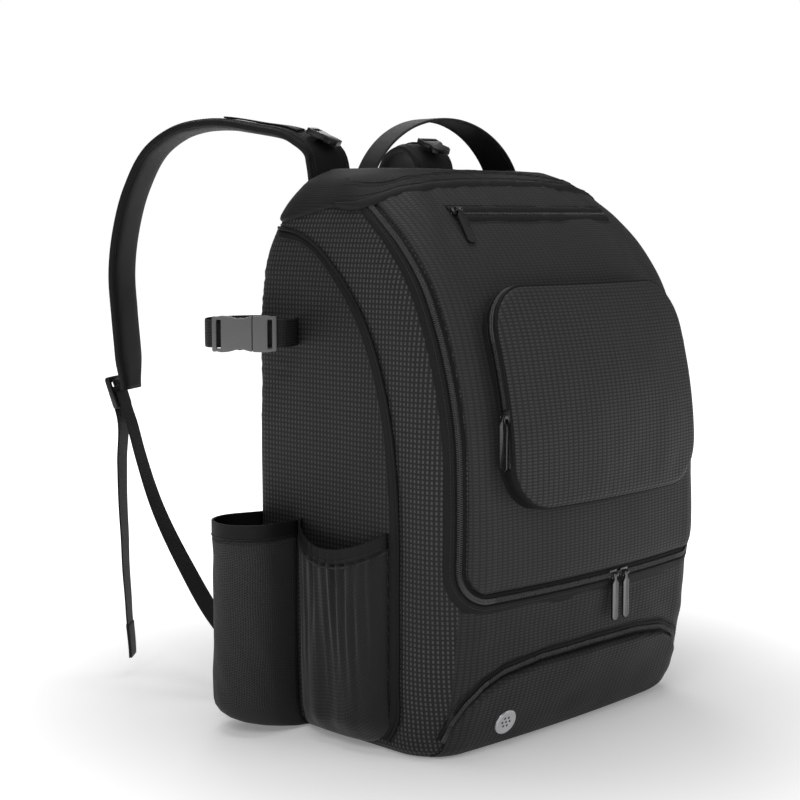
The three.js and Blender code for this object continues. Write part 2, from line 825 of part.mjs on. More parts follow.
// Outer offset of the shoe flap, most at its top edge
function shoeOffset(point) {
  return shoePuff * clamp(point.z / shoeTop, 0, 1) * clamp((shoeTop * 1.5 - point.z) / 20, 0, 1);
}

const meshes = new THREE.Group();
const finishes = {
  ripstop: new THREE.MeshStandardMaterial({ color: '#2b2b2d', roughness: 0.75 }),
  smooth: new THREE.MeshStandardMaterial({ color: '#333335', roughness: 0.7 }),
  trim: new THREE.MeshStandardMaterial({ color: '#151516', roughness: 0.6 }),
  mesh: new THREE.MeshStandardMaterial({ color: '#1c1c1e', roughness: 0.85 }),
  webbing: new THREE.MeshStandardMaterial({ color: '#1d1d1e', roughness: 0.8 }),
  plastic: new THREE.MeshStandardMaterial({ color: '#3a3a3c', roughness: 0.45 }),
  zip: new THREE.MeshStandardMaterial({ color: '#18181a', roughness: 0.5 }),
  metal: new THREE.MeshStandardMaterial({ color: '#c9c9cc', roughness: 0.35, metalness: 1 }),
};

function add(name, geometry, finish, matrix) {
  const mesh = new THREE.Mesh(geometry, finishes[finish]);
  mesh.name = name;
  if (matrix) matrix.decompose(mesh.position, mesh.quaternion, mesh.scale);
  meshes.add(mesh);
}

// Adds the piece made for the +X side and its mirror image on the -X side
function addPair(name, geometry, finish) {
  add(`${name}_right`, geometry, finish);
  add(`${name}_left`, mirrored(geometry), finish);
}

// Shell, side panels and piping

function buildShell() {
  const panelHole = alongX(panelOutline(seam), halfWidth / 2, 2 * halfWidth);
  let piece = shell.subtract(flapOpening).subtract(shoeOpening);
  piece = piece.subtract(solid(panelHole)).subtract(solid(mirrored(mergeVertices(stripped(panelHole)))));
  const lower = wedge(seam / 2, shoeTop / 2, flapFoot, 0);
  add('main_shell', surface(piece.subtract(lower)), 'ripstop');
}

function buildSidePanels() {
  const region = solid(alongX(panelOutline(0), halfWidth / 2, 2 * halfWidth));
  addPair('side_panel', surface(shell.intersect(region)), 'ripstop');
  const arch = panelOutline(0).slice(0, panelTable.length);
  const line = new THREE.SplineCurve(arch).getPoints(pipingSteps).map((p) => {
    const at = sidePoint(p.x, p.y);
    const normal = normalOf(sidePoint, p.x, p.y);
    return at.addScaledVector(normal, pipingRadius + 2 * seam);
  });
  const piping = solid(rod(line, pipingRadius, pipingSides)).subtract(bodyForm(seam));
  addPair('side_piping', surface(piping), 'trim');
}

function buildFrontPanels() {
  const lower = wedge(-seam / 2, shoeTop / 2, flapFoot - tape - seam, 0);
  const panel = shell.intersect(lower).subtract(shoeOpening);
  add('lower_front', surface(panel), 'ripstop');

  const puffed = bodyForm(flapOffset).subtract(hollow);
  add('front_flap', surface(puffed.intersect(flapRegion)), 'smooth');

  const shoe = bodyForm(shoeOffset).subtract(hollow).intersect(shoeRegion(-tape));
  add('shoe_flap', surface(shoe), 'ripstop');
}

// Places along the main zipper: down one side, along the foot and up the other
function mainZipLine() {
  const right = [];
  const heights = bodyTable.map((row) => row.rise * bodyHeight);
  const coilTop = bodyHeight - coilDrop;
  const sides = heights.filter((h) => h > flapFoot + flapCorner && h < coilTop);
  for (const z of [...sides, coilTop].reverse()) {
    const section = sectionAt(z);
    right.push(pastCorner(section, section.zipTurn * section.frontCorner));
  }
  for (let i = 0; i <= cornerRows; i += 1) {
    const turn = Math.PI / 2 * i / cornerRows;
    const section = sectionAt(flapFoot + flapCorner * (1 - Math.sin(turn)));
    const inset = flapCorner * (1 - Math.cos(turn));
    right.push(pastCorner(section, section.zipTurn * section.frontCorner - inset));
  }
  const corner = right[right.length - 1].x;
  const foot = [0.66, 0.33].map((share) => frontPoint(corner * share, flapFoot));
  const half = [...right, ...foot];
  return [...half, frontPoint(0, flapFoot), ...half.slice().reverse().map((p) => vec(-p.x, p.y, p.z))];
}

// Stations on the body for a line of places, with the body's own outward directions
function stationsOf(line) {
  return line.map((at) => {
    const section = sectionAt(at.z);
    const flat = section.half - section.frontCorner;
    const side = Math.sign(at.x) || 1;
    const over = Math.max(0, Math.abs(at.x) - flat) / section.frontCorner;
    const turn = Math.asin(clamp(over, 0, 1));
    const step = 4;
    const [up, down] = [sectionAt(at.z + step), sectionAt(at.z - step)];
    const lean = (up.front - down.front) / (up.z - down.z);
    const pinch = (up.half - down.half) / (up.z - down.z);
    const tip = -(lean * Math.cos(turn) + pinch * Math.sin(turn));
    return { at, normal: vec(side * Math.sin(turn), -Math.cos(turn), tip).normalize() };
  });
}

// Bar that lies in a slot cut for a zipper of the given width
function inlaidZipper(line, width) {
  return bar(stationsOf(line), zipSection(width - 2 * zipEase, -tapeSink, tapeSink + frontRise));
}

function shoeZipLine() {
  const rows = shoeTable.map((row) => [row.x * shoeHalf, shoeFoot + row.rise * (shoeTop - shoeFoot)]);
  const right = rows.slice(1).map(([x, z]) => frontPoint(x, z));
  const left = right.slice(0, -1).reverse().map((p) => vec(-p.x, p.y, p.z));
  return [...right, ...left];
}

function buildInlaidZippers() {
  const stations = stationsOf(mainZipLine());
  stations.forEach((station, k) => {
    if (station.at.z < flapFoot + flapCorner) return;
    const [before, after] = [stations[Math.max(k - 1, 0)], stations[Math.min(k + 1, stations.length - 1)]];
    const along = after.at.clone().sub(before.at).normalize();
    const level = vec(-station.normal.y, station.normal.x, 0).normalize();
    station.scale = along.cross(level).length() ** 1.5;
  });
  const strip = solid(bar(stations, zipSection(zipWidth - 2 * zipEase, -tapeSink, tapeSink + frontRise)));
  add('main_zipper', surface(strip.subtract(panelRoof)), 'zip');
  add('shoe_zipper', inlaidZipper(shoeZipLine(), zipWidth), 'zip');
}

// Small pocket on the flap, open towards the flap, and its zipper round the gusset

function pocketOffset(point) {
  const middle = (pocketTop + pocketFoot) / 2;
  const across = 1 - (point.x / pocketHalf) ** 2;
  const up = 1 - ((point.z - middle) / (middle - pocketFoot)) ** 2;
  const dome = clamp(across, 0, 1) * clamp(up, 0, 1);
  return flapOffset(point) + pocketRise * (pocketRim + (1 - pocketRim) * dome);
}

function buildSmallPocket() {
  const [from, to] = [-2 * frontDepth, -frontDepth * 0.3];
  const face = roundedBox(-pocketHalf, pocketFoot, pocketHalf, pocketTop, pocketCorner);
  const region = solid(alongY(face, from, to));
  const w = pocketWall;
  const inner = roundedBox(-pocketHalf + w, pocketFoot + w, pocketHalf - w, pocketTop - w, pocketCorner - w);
  const space = solid(alongY(inner, from, to)).intersect(bodyForm((p) => pocketOffset(p) - w));
  const outside = bodyForm(pocketOffset).intersect(region);
  const flapSkin = bodyForm((p) => flapOffset(p) + seam);
  add('small_pocket', surface(outside.subtract(space).subtract(flapSkin)), 'ripstop');
}

function buildPocketZipper() {
  const outline = roundedBox(-pocketHalf, pocketFoot, pocketHalf, pocketTop, pocketCorner);
  const line = outline.getPoints().filter((p) => p.y > pocketFoot + pocketCorner - 1);
  const start = new THREE.Vector2(pocketHalf, pocketTop - 2 * pocketCorner);
  const path = [start, ...line.filter((p) => p.y > start.y || p.x < 0)];
  const stations = path.map((p) => {
    const centre = new THREE.Vector2(
      clamp(p.x, pocketCorner - pocketHalf, pocketHalf - pocketCorner),
      Math.min(p.y, pocketTop - pocketCorner),
    );
    const out = p.clone().sub(centre).normalize();
    const y = frontPoint(p.x, p.y).y - flapPuff - pocketZipRise;
    return { at: vec(p.x, y, p.y), normal: vec(out.x, 0, out.y) };
  });
  const section = zipSection(pocketZipWidth, 1.5 * seam, pocketZipProud);
  add('small_pocket_zipper', bar(stations, section), 'zip');
}

function buildTopPocketZipper() {
  const count = 4;
  const line = Array.from({ length: count + 1 }, (_, i) => {
    const x = lerp(topZipLeft, topZipRight, i / count);
    return frontPoint(x, topZipHeight);
  });
  const strip = solid(bar(stationsOf(line), zipSection(topZipWidth, flapPuff - 1, 1 + topZipProud)));
  add('top_pocket_zipper', surface(strip.subtract(bodyForm((p) => flapOffset(p) + seam))), 'zip');
}

// Yoke over the top with its rolled front edge

function buildYoke() {
  const { line, region: front } = roofRegion(0);
  const roof = 2 * bodyHeight;
  let region = front;
  const cheek = [
    new THREE.Vector2(cheekFront, cheekTop),
    new THREE.Vector2(panelRear * 0.85, panelTop + cheekGap),
    new THREE.Vector2(2 * backDepth, panelTop + cheekGap),
    new THREE.Vector2(2 * backDepth, roof),
    new THREE.Vector2(cheekFront, roof),
  ];
  for (const from of [-2 * halfWidth, cheekHalf]) {
    region = region.add(solid(alongX(cheek, from, from + 2 * halfWidth - cheekHalf)));
  }
  const cover = bodyForm(yokeThick).intersect(region);
  const rollLine = line.slice(1, -1).map((p) => frontPoint(p.x, p.y));
  const roll = solid(rod(rollLine, rollRadius));
  add('top_yoke', surface(cover.add(roll).subtract(bodyForm(seam))), 'trim');
}

function buildBackPanel() {
  const width = 2 * (padHalf - padBevel);
  const height = padTop - padFoot - 2 * padBevel;
  const shape = roundedBox(-width / 2, 0, width / 2, height, padCorner);
  const pad = new THREE.ExtrudeGeometry(shape, {
    depth: padThick - 2 * padBevel,
    bevelThickness: padBevel,
    bevelSize: padBevel,
    bevelSegments: 1,
    curveSegments: outlineSteps,
  });
  const start = vec(0, backDepth + seam + padThick - padBevel, padFoot + padBevel);
  const upright = new THREE.Matrix4().makeBasis(vec(1, 0, 0), vec(0, 0, 1), vec(0, -1, 0));
  pad.applyMatrix4(upright.setPosition(start));
  add('back_panel', surface(solid(pad)), 'mesh');
}

function buildHandle() {
  const count = 16;
  const base = bodyHeight - handleFoot;
  const stations = Array.from({ length: count + 1 }, (_, i) => {
    const turn = Math.PI * i / count;
    const rise = (handleTop - base) * Math.sin(turn) ** handlePeak;
    const at = vec(handleHalf * Math.cos(turn), handleY, base + rise);
    const twist = radians(handleTwist) * Math.cos(turn);
    const across = vec(Math.sin(twist), -Math.cos(twist), 0);
    const along = vec(-Math.sin(turn), 0, Math.cos(turn));
    return { at, normal: across.cross(along).normalize() };
  });
  const strap = solid(bar(stations, flat(handleWidth, -handleThick / 2, handleThick)));
  add('grab_handle', surface(strap.subtract(bodyForm(yokeThick + seam))), 'webbing');
}

// Bat sleeves: a mesh wall round the space for a bat, closed at the foot

const batX = halfWidth + batRadius;

// Plan of the sleeve wall from its rear seam round to its front seam. Where open is 0 it lies flat
// against the body, and where it is 1 it stands round the bat.
function sleevePlan(z, gap, open) {
  const radius = batRadius + sleeveEase + gap;
  const rear = Math.min(sleeveRear, sectionAt(z).back - backRadius / 4);
  const front = batY - radius;
  const seat = (y) => vec(sidePoint(clamp(y, front, rear), z).x + seatGap + gap, y, z);
  const plan = [seat(rear + gap)];
  for (let i = 0; i <= sleeveTurns; i += 1) {
    const turn = radians(lerp(sleeveFrom, sleeveTo, i / sleeveTurns));
    plan.push(vec(batX + radius * Math.cos(turn), batY + radius * Math.sin(turn), z));
  }
  plan.push(seat(front));
  return plan.map((p, i) => seat(lerp(rear + gap, front, i / (plan.length - 1))).lerp(p, open));
}

function sleeveRows(low, high, gap, steps) {
  return Array.from({ length: steps + 1 }, (_, i) => {
    const z = lerp(low, high, (i / steps) ** 1.6);
    const lift = clamp((z - sleeveFoot) / sleeveRound, 0, 1);
    return sleevePlan(z, gap, lerp(sleeveFlat, 1, Math.sqrt(1 - (1 - lift) ** 2)));
  });
}

function buildSleeves() {
  const hemFoot = sleeveTop - hemHeight;
  const wall = (gap) => sleeveRows(sleeveFoot, hemFoot - seam, gap, sleeveRowCount);
  const hem = (gap) => sleeveRows(hemFoot, sleeveTop, gap, 1);
  addPair('bat_sleeve', surface(solid(sheet(wall(sleeveWall), wall(0))).subtract(bodyForm(seam))), 'mesh');
  addPair('sleeve_binding', sheet(hem(hemThick), hem(0)), 'trim');
}

// Bottle pockets: gathered stretch fabric that bellies out from the side

function bottlePoint(along, up, out) {
  const y = lerp(bottleRear, -bottleFront, along);
  const hem = bottleHem - bottleDip * Math.sin(Math.PI * along) ** hemCurve;
  const z = lerp(lerp(bottleFoot, bottleFootFront, along), hem, up);
  const rise = Math.sin(Math.PI / 2 * Math.min(1, up / footShare)) ** footCurve;
  const belly = Math.sin(Math.PI * along) ** bellyCurve * rise * bottleBulge;
  const pleat = bottlePleat * up * Math.sin(Math.PI * along) * Math.cos(2 * Math.PI * pleatCount * along);
  const fullness = bellyFoot + (1 - bellyFoot) * up;
  return vec(sidePoint(y, z).x + seatGap + out + belly * fullness + pleat, y, z);
}

function bottleRows(low, high, out, steps) {
  return Array.from({ length: steps + 1 }, (_, r) => {
    const up = lerp(low, high, (r / steps) ** 1.5);
    const across = 2 * pleatCount;
    return Array.from({ length: across + 1 }, (_, i) => bottlePoint(i / across, up, out));
  });
}

function buildBottlePockets() {
  const hemShare = 1 - hemHeight / (bottleHem - bottleFoot);
  const gap = seam / (bottleHem - bottleFoot);
  const rows = (out) => bottleRows(0, hemShare - 2 * gap, out, bottleRowCount);
  const wall = solid(sheet(rows(bottleWall), rows(0)));
  addPair('bottle_pocket', surface(wall.subtract(bodyForm(seam))), 'smooth');
  const hem = sheet(bottleRows(hemShare, 1, hemThick, 1), bottleRows(hemShare, 1, 0, 1));
  addPair('pocket_binding', hem, 'trim');
}

// Bat straps: webbing round the space for a bat, closed by a side-release buckle

const buckleTurn = radians(buckleAngle);
const buckleOut = vec(Math.cos(buckleTurn), Math.sin(buckleTurn), 0);
const buckleAlong = vec(-Math.sin(buckleTurn), Math.cos(buckleTurn), 0);
const buckleSeat = batRadius + strapEase + webbing + seam;

function onBuckle(along, out) {
  const centre = vec(batX, batY, strapHeight);
  return centre.addScaledVector(buckleOut, out).addScaledVector(buckleAlong, along);
}

function webbingStations(points, centre) {
  return points.map((at, i) => {
    const along = points[Math.min(i + 1, points.length - 1)].clone().sub(points[Math.max(i - 1, 0)]);
    const normal = along.cross(vec(0, 0, 1)).normalize();
    if (normal.dot(at.clone().sub(centre)) < 0) normal.negate();
    return { at, normal };
  });
}

function buildBatStraps() {
  const centre = vec(batX, batY, strapHeight);
  const under = buckleSeat - seam - webbing;
  const half = buckleLength / 2;
  const wall = (y, lift) => vec(sidePoint(y, strapHeight).x + seatGap + lift, y, strapHeight);
  const round = batRadius + strapEase;
  const around = (degrees, extra) => {
    const turn = radians(degrees);
    return vec(batX + (round + extra) * Math.cos(turn), batY + (round + extra) * Math.sin(turn), strapHeight);
  };
  const front = [
    wall(strapFrontY, webbing),
    wall(strapFrontY - strapLap, webbing),
    onBuckle(-half - frontLead, under),
    onBuckle(-half * frontGrip, under),
  ];
  const rear = [
    onBuckle(half * rearGrip, under),
    onBuckle(half + rearLead, under),
    ...wrapTable.map((row) => around(row.turn, row.ease)),
    wall(sleeveRear - wallLap, 0),
  ];
  for (const [name, points] of [['bat_strap_front', front], ['bat_strap_rear', rear]]) {
    addPair(name, bar(webbingStations(points, centre), flat(strapWidth, 0, webbing)), 'webbing');
  }
  const split = lerp(-half, half, 1 - socketShare);
  for (const [name, from, to, slot] of [
    ['buckle_plug', -half, split - buckleGap, -half + buckleSlotInset],
    ['buckle_socket', split, half, half - buckleSlotInset],
  ]) {
    const outline = roundedBox(from, -buckleWidth / 2, to, buckleWidth / 2, buckleCorner);
    const slotHalf = strapWidth / 2 + slotEase;
    slotIn(outline, slot - buckleSlot / 2, -slotHalf, slot + buckleSlot / 2, slotHalf);
    const start = onBuckle(0, buckleSeat);
    const plate = prism(outline, buckleThick, buckleAlong, vec(0, 0, 1), buckleOut, start);
    addPair(name, surface(solid(plate)), 'plastic');
  }
}

// Outline of the half buckle of the sternum strap, with its webbing slot and waisted sides
function clipOutline() {
  const right = clipTable.map((row) => new THREE.Vector2(clipWidth / 2 * row.half, clipLength * row.along));
  const left = right.map((point) => new THREE.Vector2(-point.x, point.y)).reverse();
  const shape = new THREE.Shape([left.pop(), ...right, ...left]);
  slotIn(shape, -railWidth / 2, clipSlot, railWidth / 2, 2 * clipSlot);
  return shape;
}

// Shoulder straps with their lower webbing, locks, tails and sternum buckles

function strapPlane(side, lean, reach, table) {
  const way = vec(side * lean, 1, 0).normalize();
  const root = vec(side * strapRootX, backDepth, 0);
  const place = (out, z) => root.clone().addScaledVector(way, out).setZ(z);
  const points = table.map((row) => place(row.out * reach, row.rise * strapTop));
  const curve = new THREE.CatmullRomCurve3(points, false, 'centripetal');
  const across = vec(way.y, -way.x, 0);
  return { side, way, curve, across };
}

// Stations of a strap whose width lies along across, turned towards another way by a share for each
function planeStations(points, across, turned = () => 0, other = vec(1, 0, 0)) {
  return points.map((at, i) => {
    const [before, after] = [points[Math.max(i - 1, 0)], points[Math.min(i + 1, points.length - 1)]];
    const along = after.clone().sub(before).normalize();
    const width = across.clone().lerp(other, turned(i / (points.length - 1)));
    return { at, normal: width.cross(along).normalize() };
  });
}

// How far a strap is turned to lie flat on the body, by its share from the sewn end
const atRoot = (share) => 1 - THREE.MathUtils.smoothstep(share, flatShare, freeShare);

// Section of the padded strap with its edges thinned, grown by a gap
function padSection(grow) {
  const [w, t] = [padStrapWidth / 2 + grow, padStrapThick / 2 + grow];
  const [edge, flank] = [t * padEdge, w * padFlank];
  return [
    [-w, -edge], [-flank, -t], [flank, -t], [w, -edge],
    [w, edge], [flank, t], [-flank, t], [-w, edge],
  ];
}

function buildShoulderStrap(label, plane, [railFrom, railTo]) {
  const { curve, across, side, way } = plane;
  const line = curve.getPoints(strapSteps);
  const stations = planeStations(line, across, atRoot);
  stations[strapSteps].scale = padEndShare;
  add(`shoulder_strap_${label}`, bar(stations, padSection(0)), 'mesh');

  const end = line[strapSteps];
  const down = vec(0, 0, -1);
  const lean = radians(lockLean);
  const lockDown = down.clone().multiplyScalar(Math.cos(lean)).addScaledVector(way, Math.sin(lean));
  const lockOut = way.clone().multiplyScalar(Math.cos(lean)).addScaledVector(down, -Math.sin(lean));
  const lockAt = end.clone().addScaledVector(way, padStrapThick / 2 + lockStand);
  lockAt.addScaledVector(down, lockDrop);
  const onLock = (below, out) => {
    const spot = lockAt.clone().addScaledVector(lockDown, below);
    return spot.addScaledVector(lockOut, out);
  };
  const lockHalf = lockLength / 2;
  const shape = roundedBox(-lockWidth / 2, -lockHalf, lockWidth / 2, lockHalf, lockCorner);
  for (const middle of [-lockHalf / 2, lockHalf / 2]) {
    const slotHalf = strapWidth / 2 + slotEase;
    slotIn(shape, -slotHalf, middle - lockSlot / 2, slotHalf, middle + lockSlot / 2);
  }
  const lock = prism(shape, lockThick, across, lockDown.clone().negate(), lockOut, onLock(0, -lockThick / 2));
  const turned = new THREE.Matrix4().makeBasis(across, lockDown.clone().negate(), lockOut).determinant();
  add(`ladder_lock_${label}`, surface(solid(turned < 0 ? flipped(lock) : lock)), 'plastic');

  const face = lockThick / 2 + seam;
  const tailTop = onLock(0, face);
  const tailTurn = onLock(lockHalf + turnClear, face);
  const tail = [tailTop, onLock(lockHalf * barShare, face), tailTurn];
  const tailSteps = 6;
  for (let i = 1; i <= tailSteps; i += 1) {
    const share = i / tailSteps;
    const spot = tailTurn.clone().setZ(lerp(tailTurn.z - tailCurl, tailFoot, share));
    tail.push(spot.addScaledVector(way, tailSway * Math.sin(Math.PI * share) - tailDrift * share));
  }
  const tailLine = planeStations(tail, across);
  tailLine.forEach((station, i) => {
    const share = clamp((i - 2) / tailSteps, 0, 1);
    station.normal.applyAxisAngle(vec(0, 0, 1), radians(side * -tailTwist * share));
  });
  add(`strap_tail_${label}`, bar(tailLine, flat(strapWidth, 0, webbing)), 'webbing');

  const padFace = padStrapThick / 2 + seam;
  const onPad = (share) => {
    const at = curve.getPoint(share);
    const along = curve.getTangent(share);
    const width = across.clone().lerp(vec(1, 0, 0), atRoot(share));
    return { at, normal: width.cross(along).normalize(), along };
  };
  const lockWeb = [1 - lockWebShare, 1 - lockWebShare / 2, 1].map((share) => {
    const { at, normal } = onPad(share);
    return at.addScaledVector(normal, padFace);
  });
  lockWeb.push(...lockGrip.map((share) => onLock(-lockHalf * share, -face - webbing)));
  add(`lock_webbing_${label}`, bar(planeStations(lockWeb, across), flat(strapWidth, 0, webbing)), 'webbing');

  const rail = stations.slice(railFrom, railTo + 1);
  const padSkin = solid(bar(stations, padSection(seam)));
  const strip = solid(bar(rail, flat(railWidth, 0, padFace + webbing)));
  add(`sternum_webbing_${label}`, surface(strip.subtract(padSkin)), 'webbing');
  const seat = onPad((railFrom + clipShare * (railTo - railFrom)) / strapSteps);
  const clipOut = seat.normal.clone();
  const clipAlong = seat.along.clone().negate();
  const clipSide = clipAlong.clone().cross(clipOut);
  const clipAt = seat.at.clone().addScaledVector(clipOut, padFace + webbing + seam);
  const clip = prism(clipOutline(), clipThick, clipSide, clipAlong, clipOut.clone(), clipAt);
  const clipTurn = new THREE.Matrix4().makeBasis(clipSide, clipAlong, clipOut).determinant();
  add(`sternum_buckle_${label}`, surface(solid(clipTurn < 0 ? flipped(clip) : clip)), 'plastic');

  const anchor = vec(side * anchorX, backDepth, anchorHeight);
  const start = onLock(0, -face);
  const rise = start.clone().sub(anchor);
  const lower = [-lockLap, lockHalf * barShare, lockHalf + turnClear].map((below) => onLock(below, -face));
  for (const row of lowerTable) {
    const spot = anchor.clone().addScaledVector(vec(rise.x, rise.y, 0), row.out);
    lower.push(spot.setZ(start.z - row.drop * rise.z));
  }
  const lead = lower[lower.length - 1].clone().sub(anchor).normalize();
  const wide = vec(lead.y, -lead.x, 0).normalize();
  const wingUp = wide.clone().cross(lead.clone().negate()).normalize();
  const wingFace = anchorThick / 2 + 3 * seam + webbing;
  lower.push(anchor.clone().addScaledVector(lead, anchorLength * anchorLap));
  lower[lower.length - 1].addScaledVector(wingUp, wingFace);
  lower[lower.length - 2].addScaledVector(wingUp, wingFace);
  const lowerCurve = new THREE.CatmullRomCurve3(lower, false, 'centripetal').getPoints(webbingSteps);
  const towardsAnchor = (share) => THREE.MathUtils.smoothstep(share, turnStart, turnEnd);
  const lowerLine = planeStations(lowerCurve, across, towardsAnchor, wide);
  add(`strap_webbing_${label}`, bar(lowerLine, flat(strapWidth, -webbing, webbing)), 'webbing');

  const wing = [-anchorLength / 3, anchorLength].map((reach) => ({
    at: anchor.clone().addScaledVector(lead, reach),
    normal: wingUp,
    scale: reach > 0 ? anchorTip / anchorSize : 1,
  }));
  const patch = solid(bar(wing, flat(anchorSize, -anchorThick / 2, anchorThick)));
  add(`strap_anchor_${label}`, surface(patch.subtract(bodyForm(seam))), 'webbing');
}

// Vent eyelet on the shoe flap

function buildVent() {
  const at = frontPoint(ventX, ventHeight);
  const normal = normalOf(frontPoint, ventX, ventHeight);
  const across = vec(0, 0, 1).cross(normal).normalize();
  const up = normal.clone().cross(across);
  const disc = new THREE.Shape().absarc(0, 0, ventRadius, 0, 2 * Math.PI);
  const holes = [[0, 0]];
  for (let i = 0; i < ventHoles; i += 1) {
    const turn = 2 * Math.PI * (i + ventTurn) / ventHoles;
    holes.push([ventRing * Math.cos(turn), ventRing * Math.sin(turn)]);
  }
  const outline = disc.getPoints(4).slice(1);
  const shape = new THREE.Shape(outline);
  for (const [x, y] of holes) {
    slotIn(shape, x - ventHole, y - ventHole, x + ventHole, y + ventHole);
  }
  const depth = shoePuff + ventThick;
  const disk = solid(prism(shape, depth, across, up, normal, at));
  const cover = bodyForm((p) => shoeOffset(p) + seam);
  const outside = bodyForm((p) => shoeOffset(p) + seam + ventThick);
  add('vent_eyelet', surface(disk.intersect(outside).subtract(cover)), 'metal');
}

// Zipper sliders, each with a pull that swings on a pin

function buildSlider(label, foot, normal, across, rest, wide, tall, length) {
  const up = normal.clone().cross(across).normalize();
  const slider = new THREE.Matrix4().makeBasis(across, up, normal).setPosition(foot);
  const ear = knuckleWidth / 2 + pinClearance;
  const [x, y, z] = [vec(1, 0, 0), vec(0, 1, 0), vec(0, 0, 1)];
  const floor = seam + sliderThick;
  const pinAt = floor + pinClearance + knuckleRadius;
  const base = rectangle(-wide / 2, -tall / 2, wide / 2, tall / 2);
  let block = solid(prism(base, sliderThick, x, y, z, vec(0, 0, seam)));
  const cheek = [
    new THREE.Vector2(-earHalf, seam + sliderThick / 2),
    new THREE.Vector2(earHalf, seam + sliderThick / 2),
    new THREE.Vector2(pinRadius * 2, pinAt + pinRadius * 2),
    new THREE.Vector2(-pinRadius * 2, pinAt + pinRadius * 2),
  ];
  for (const from of [-ear - earThick, ear]) {
    block = block.add(solid(prism(cheek, earThick, y, z, x, vec(from, 0, 0))));
  }
  block = block.add(solid(round(pinRadius, 2 * ear + earThick, pinAt)));
  add(`${label}_slider`, surface(block), 'metal', slider);

  const pin = foot.clone().addScaledVector(normal, pinAt);
  const back = rest.clone().negate();
  const out = across.clone().cross(back).normalize();
  const turned = new THREE.Matrix4().makeBasis(across, back, out).setPosition(pin);
  const tab = [
    new THREE.Vector2(knuckleWidth / 2, 0),
    new THREE.Vector2(-knuckleWidth / 2, 0),
    new THREE.Vector2(-knuckleWidth / 2, -pullNeck),
    new THREE.Vector2(-pullWidth / 2, -pullNeck - pullShoulder),
    new THREE.Vector2(-pullWidth / 2, pullTip - length),
    new THREE.Vector2(-pullWidth / 2 + pullTip, -length),
    new THREE.Vector2(pullWidth / 2 - pullTip, -length),
    new THREE.Vector2(pullWidth / 2, pullTip - length),
    new THREE.Vector2(pullWidth / 2, -pullNeck - pullShoulder),
    new THREE.Vector2(knuckleWidth / 2, -pullNeck),
  ];
  const plate = solid(prism(tab, pullThick, x, y, z, vec(0, 0, -pullThick / 2)));
  const pull = plate.add(solid(round(knuckleRadius, knuckleWidth, 0)))
    .subtract(solid(round(pinRadius + pinClearance, 2 * knuckleWidth, 0)));
  add(`${label}_pull`, surface(pull), 'trim', turned);
}

// Cylinder along the local x axis at a height
function round(radius, length, height) {
  const shape = new THREE.CylinderGeometry(radius, radius, length, roundSides);
  shape.rotateZ(Math.PI / 2);
  return shape.translate(0, 0, height);
}

function buildSliders() {
  const crest = frontRise + coilRise;
  for (const [label, x] of [['main_left', mainSliderLeft], ['main_right', mainSliderRight]]) {
    const normal = normalOf(frontPoint, x, flapFoot);
    const foot = frontPoint(x, flapFoot).addScaledVector(normal, crest);
    const across = vec(0, 0, 1).cross(normal).normalize();
    buildSlider(label, foot, normal, across, vec(0, 0, -1), sliderLength, sliderWidth, mainPull);
  }
  const left = topZipLeft + sliderLength / 2;
  const normal = normalOf(frontPoint, left, topZipHeight);
  const foot = frontPoint(left, topZipHeight).addScaledVector(normal, flapPuff + topZipProud + coilRise);
  const across = vec(1, 0, 0).addScaledVector(normal, -normal.x).normalize();
  across.applyAxisAngle(normal, radians(topTurn));
  const below = frontPoint(left, topZipHeight - topPull).addScaledVector(normal, flapPuff + pullRest);
  const pin = foot.clone().addScaledVector(normal, seam + sliderThick + pinClearance + knuckleRadius);
  const rest = below.sub(pin);
  rest.addScaledVector(across, -rest.dot(across)).normalize();
  buildSlider('top_pocket', foot, normal, across, rest, sliderLength, sliderWidth, topPull);

  const depth = frontPoint(-pocketHalf, pocketSliderHeight).y - flapPuff - pocketZipRise;
  const side = vec(-pocketHalf - seam - pocketZipProud - coilRise, depth, pocketSliderHeight);
  const [leftwards, forwards, downwards] = [vec(-1, 0, 0), vec(0, -1, 0), vec(0, 0, -1)];
  buildSlider('small_pocket', side, leftwards, forwards, downwards, sliderWidth, sliderLength, pocketPull);
}

buildShell();
buildSidePanels();
buildFrontPanels();
buildInlaidZippers();
buildSmallPocket();
buildPocketZipper();
buildTopPocketZipper();
buildYoke();
buildBackPanel();
buildHandle();
buildSleeves();
buildBottlePockets();
buildBatStraps();
buildVent();
buildSliders();
buildShoulderStrap('left', strapPlane(-1, leftLean, strapReach, leftStrapTable), leftRail);
buildShoulderStrap('right', strapPlane(1, rightLean, strapClose, rightStrapTable), rightRail);

export default meshes;
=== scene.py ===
# %% [markdown]
# # A baseball bat backpack
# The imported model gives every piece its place. This lesson dresses it in cloth, webbing, zippers and
# moulded fittings. It starts with the frame, because each piece later rides on one of its bodies.

# %% Load the frame
import math

import bmesh
import bpy
import numpy as np
from mathutils import Matrix, Vector, noise
from mathutils.bvhtree import BVHTree


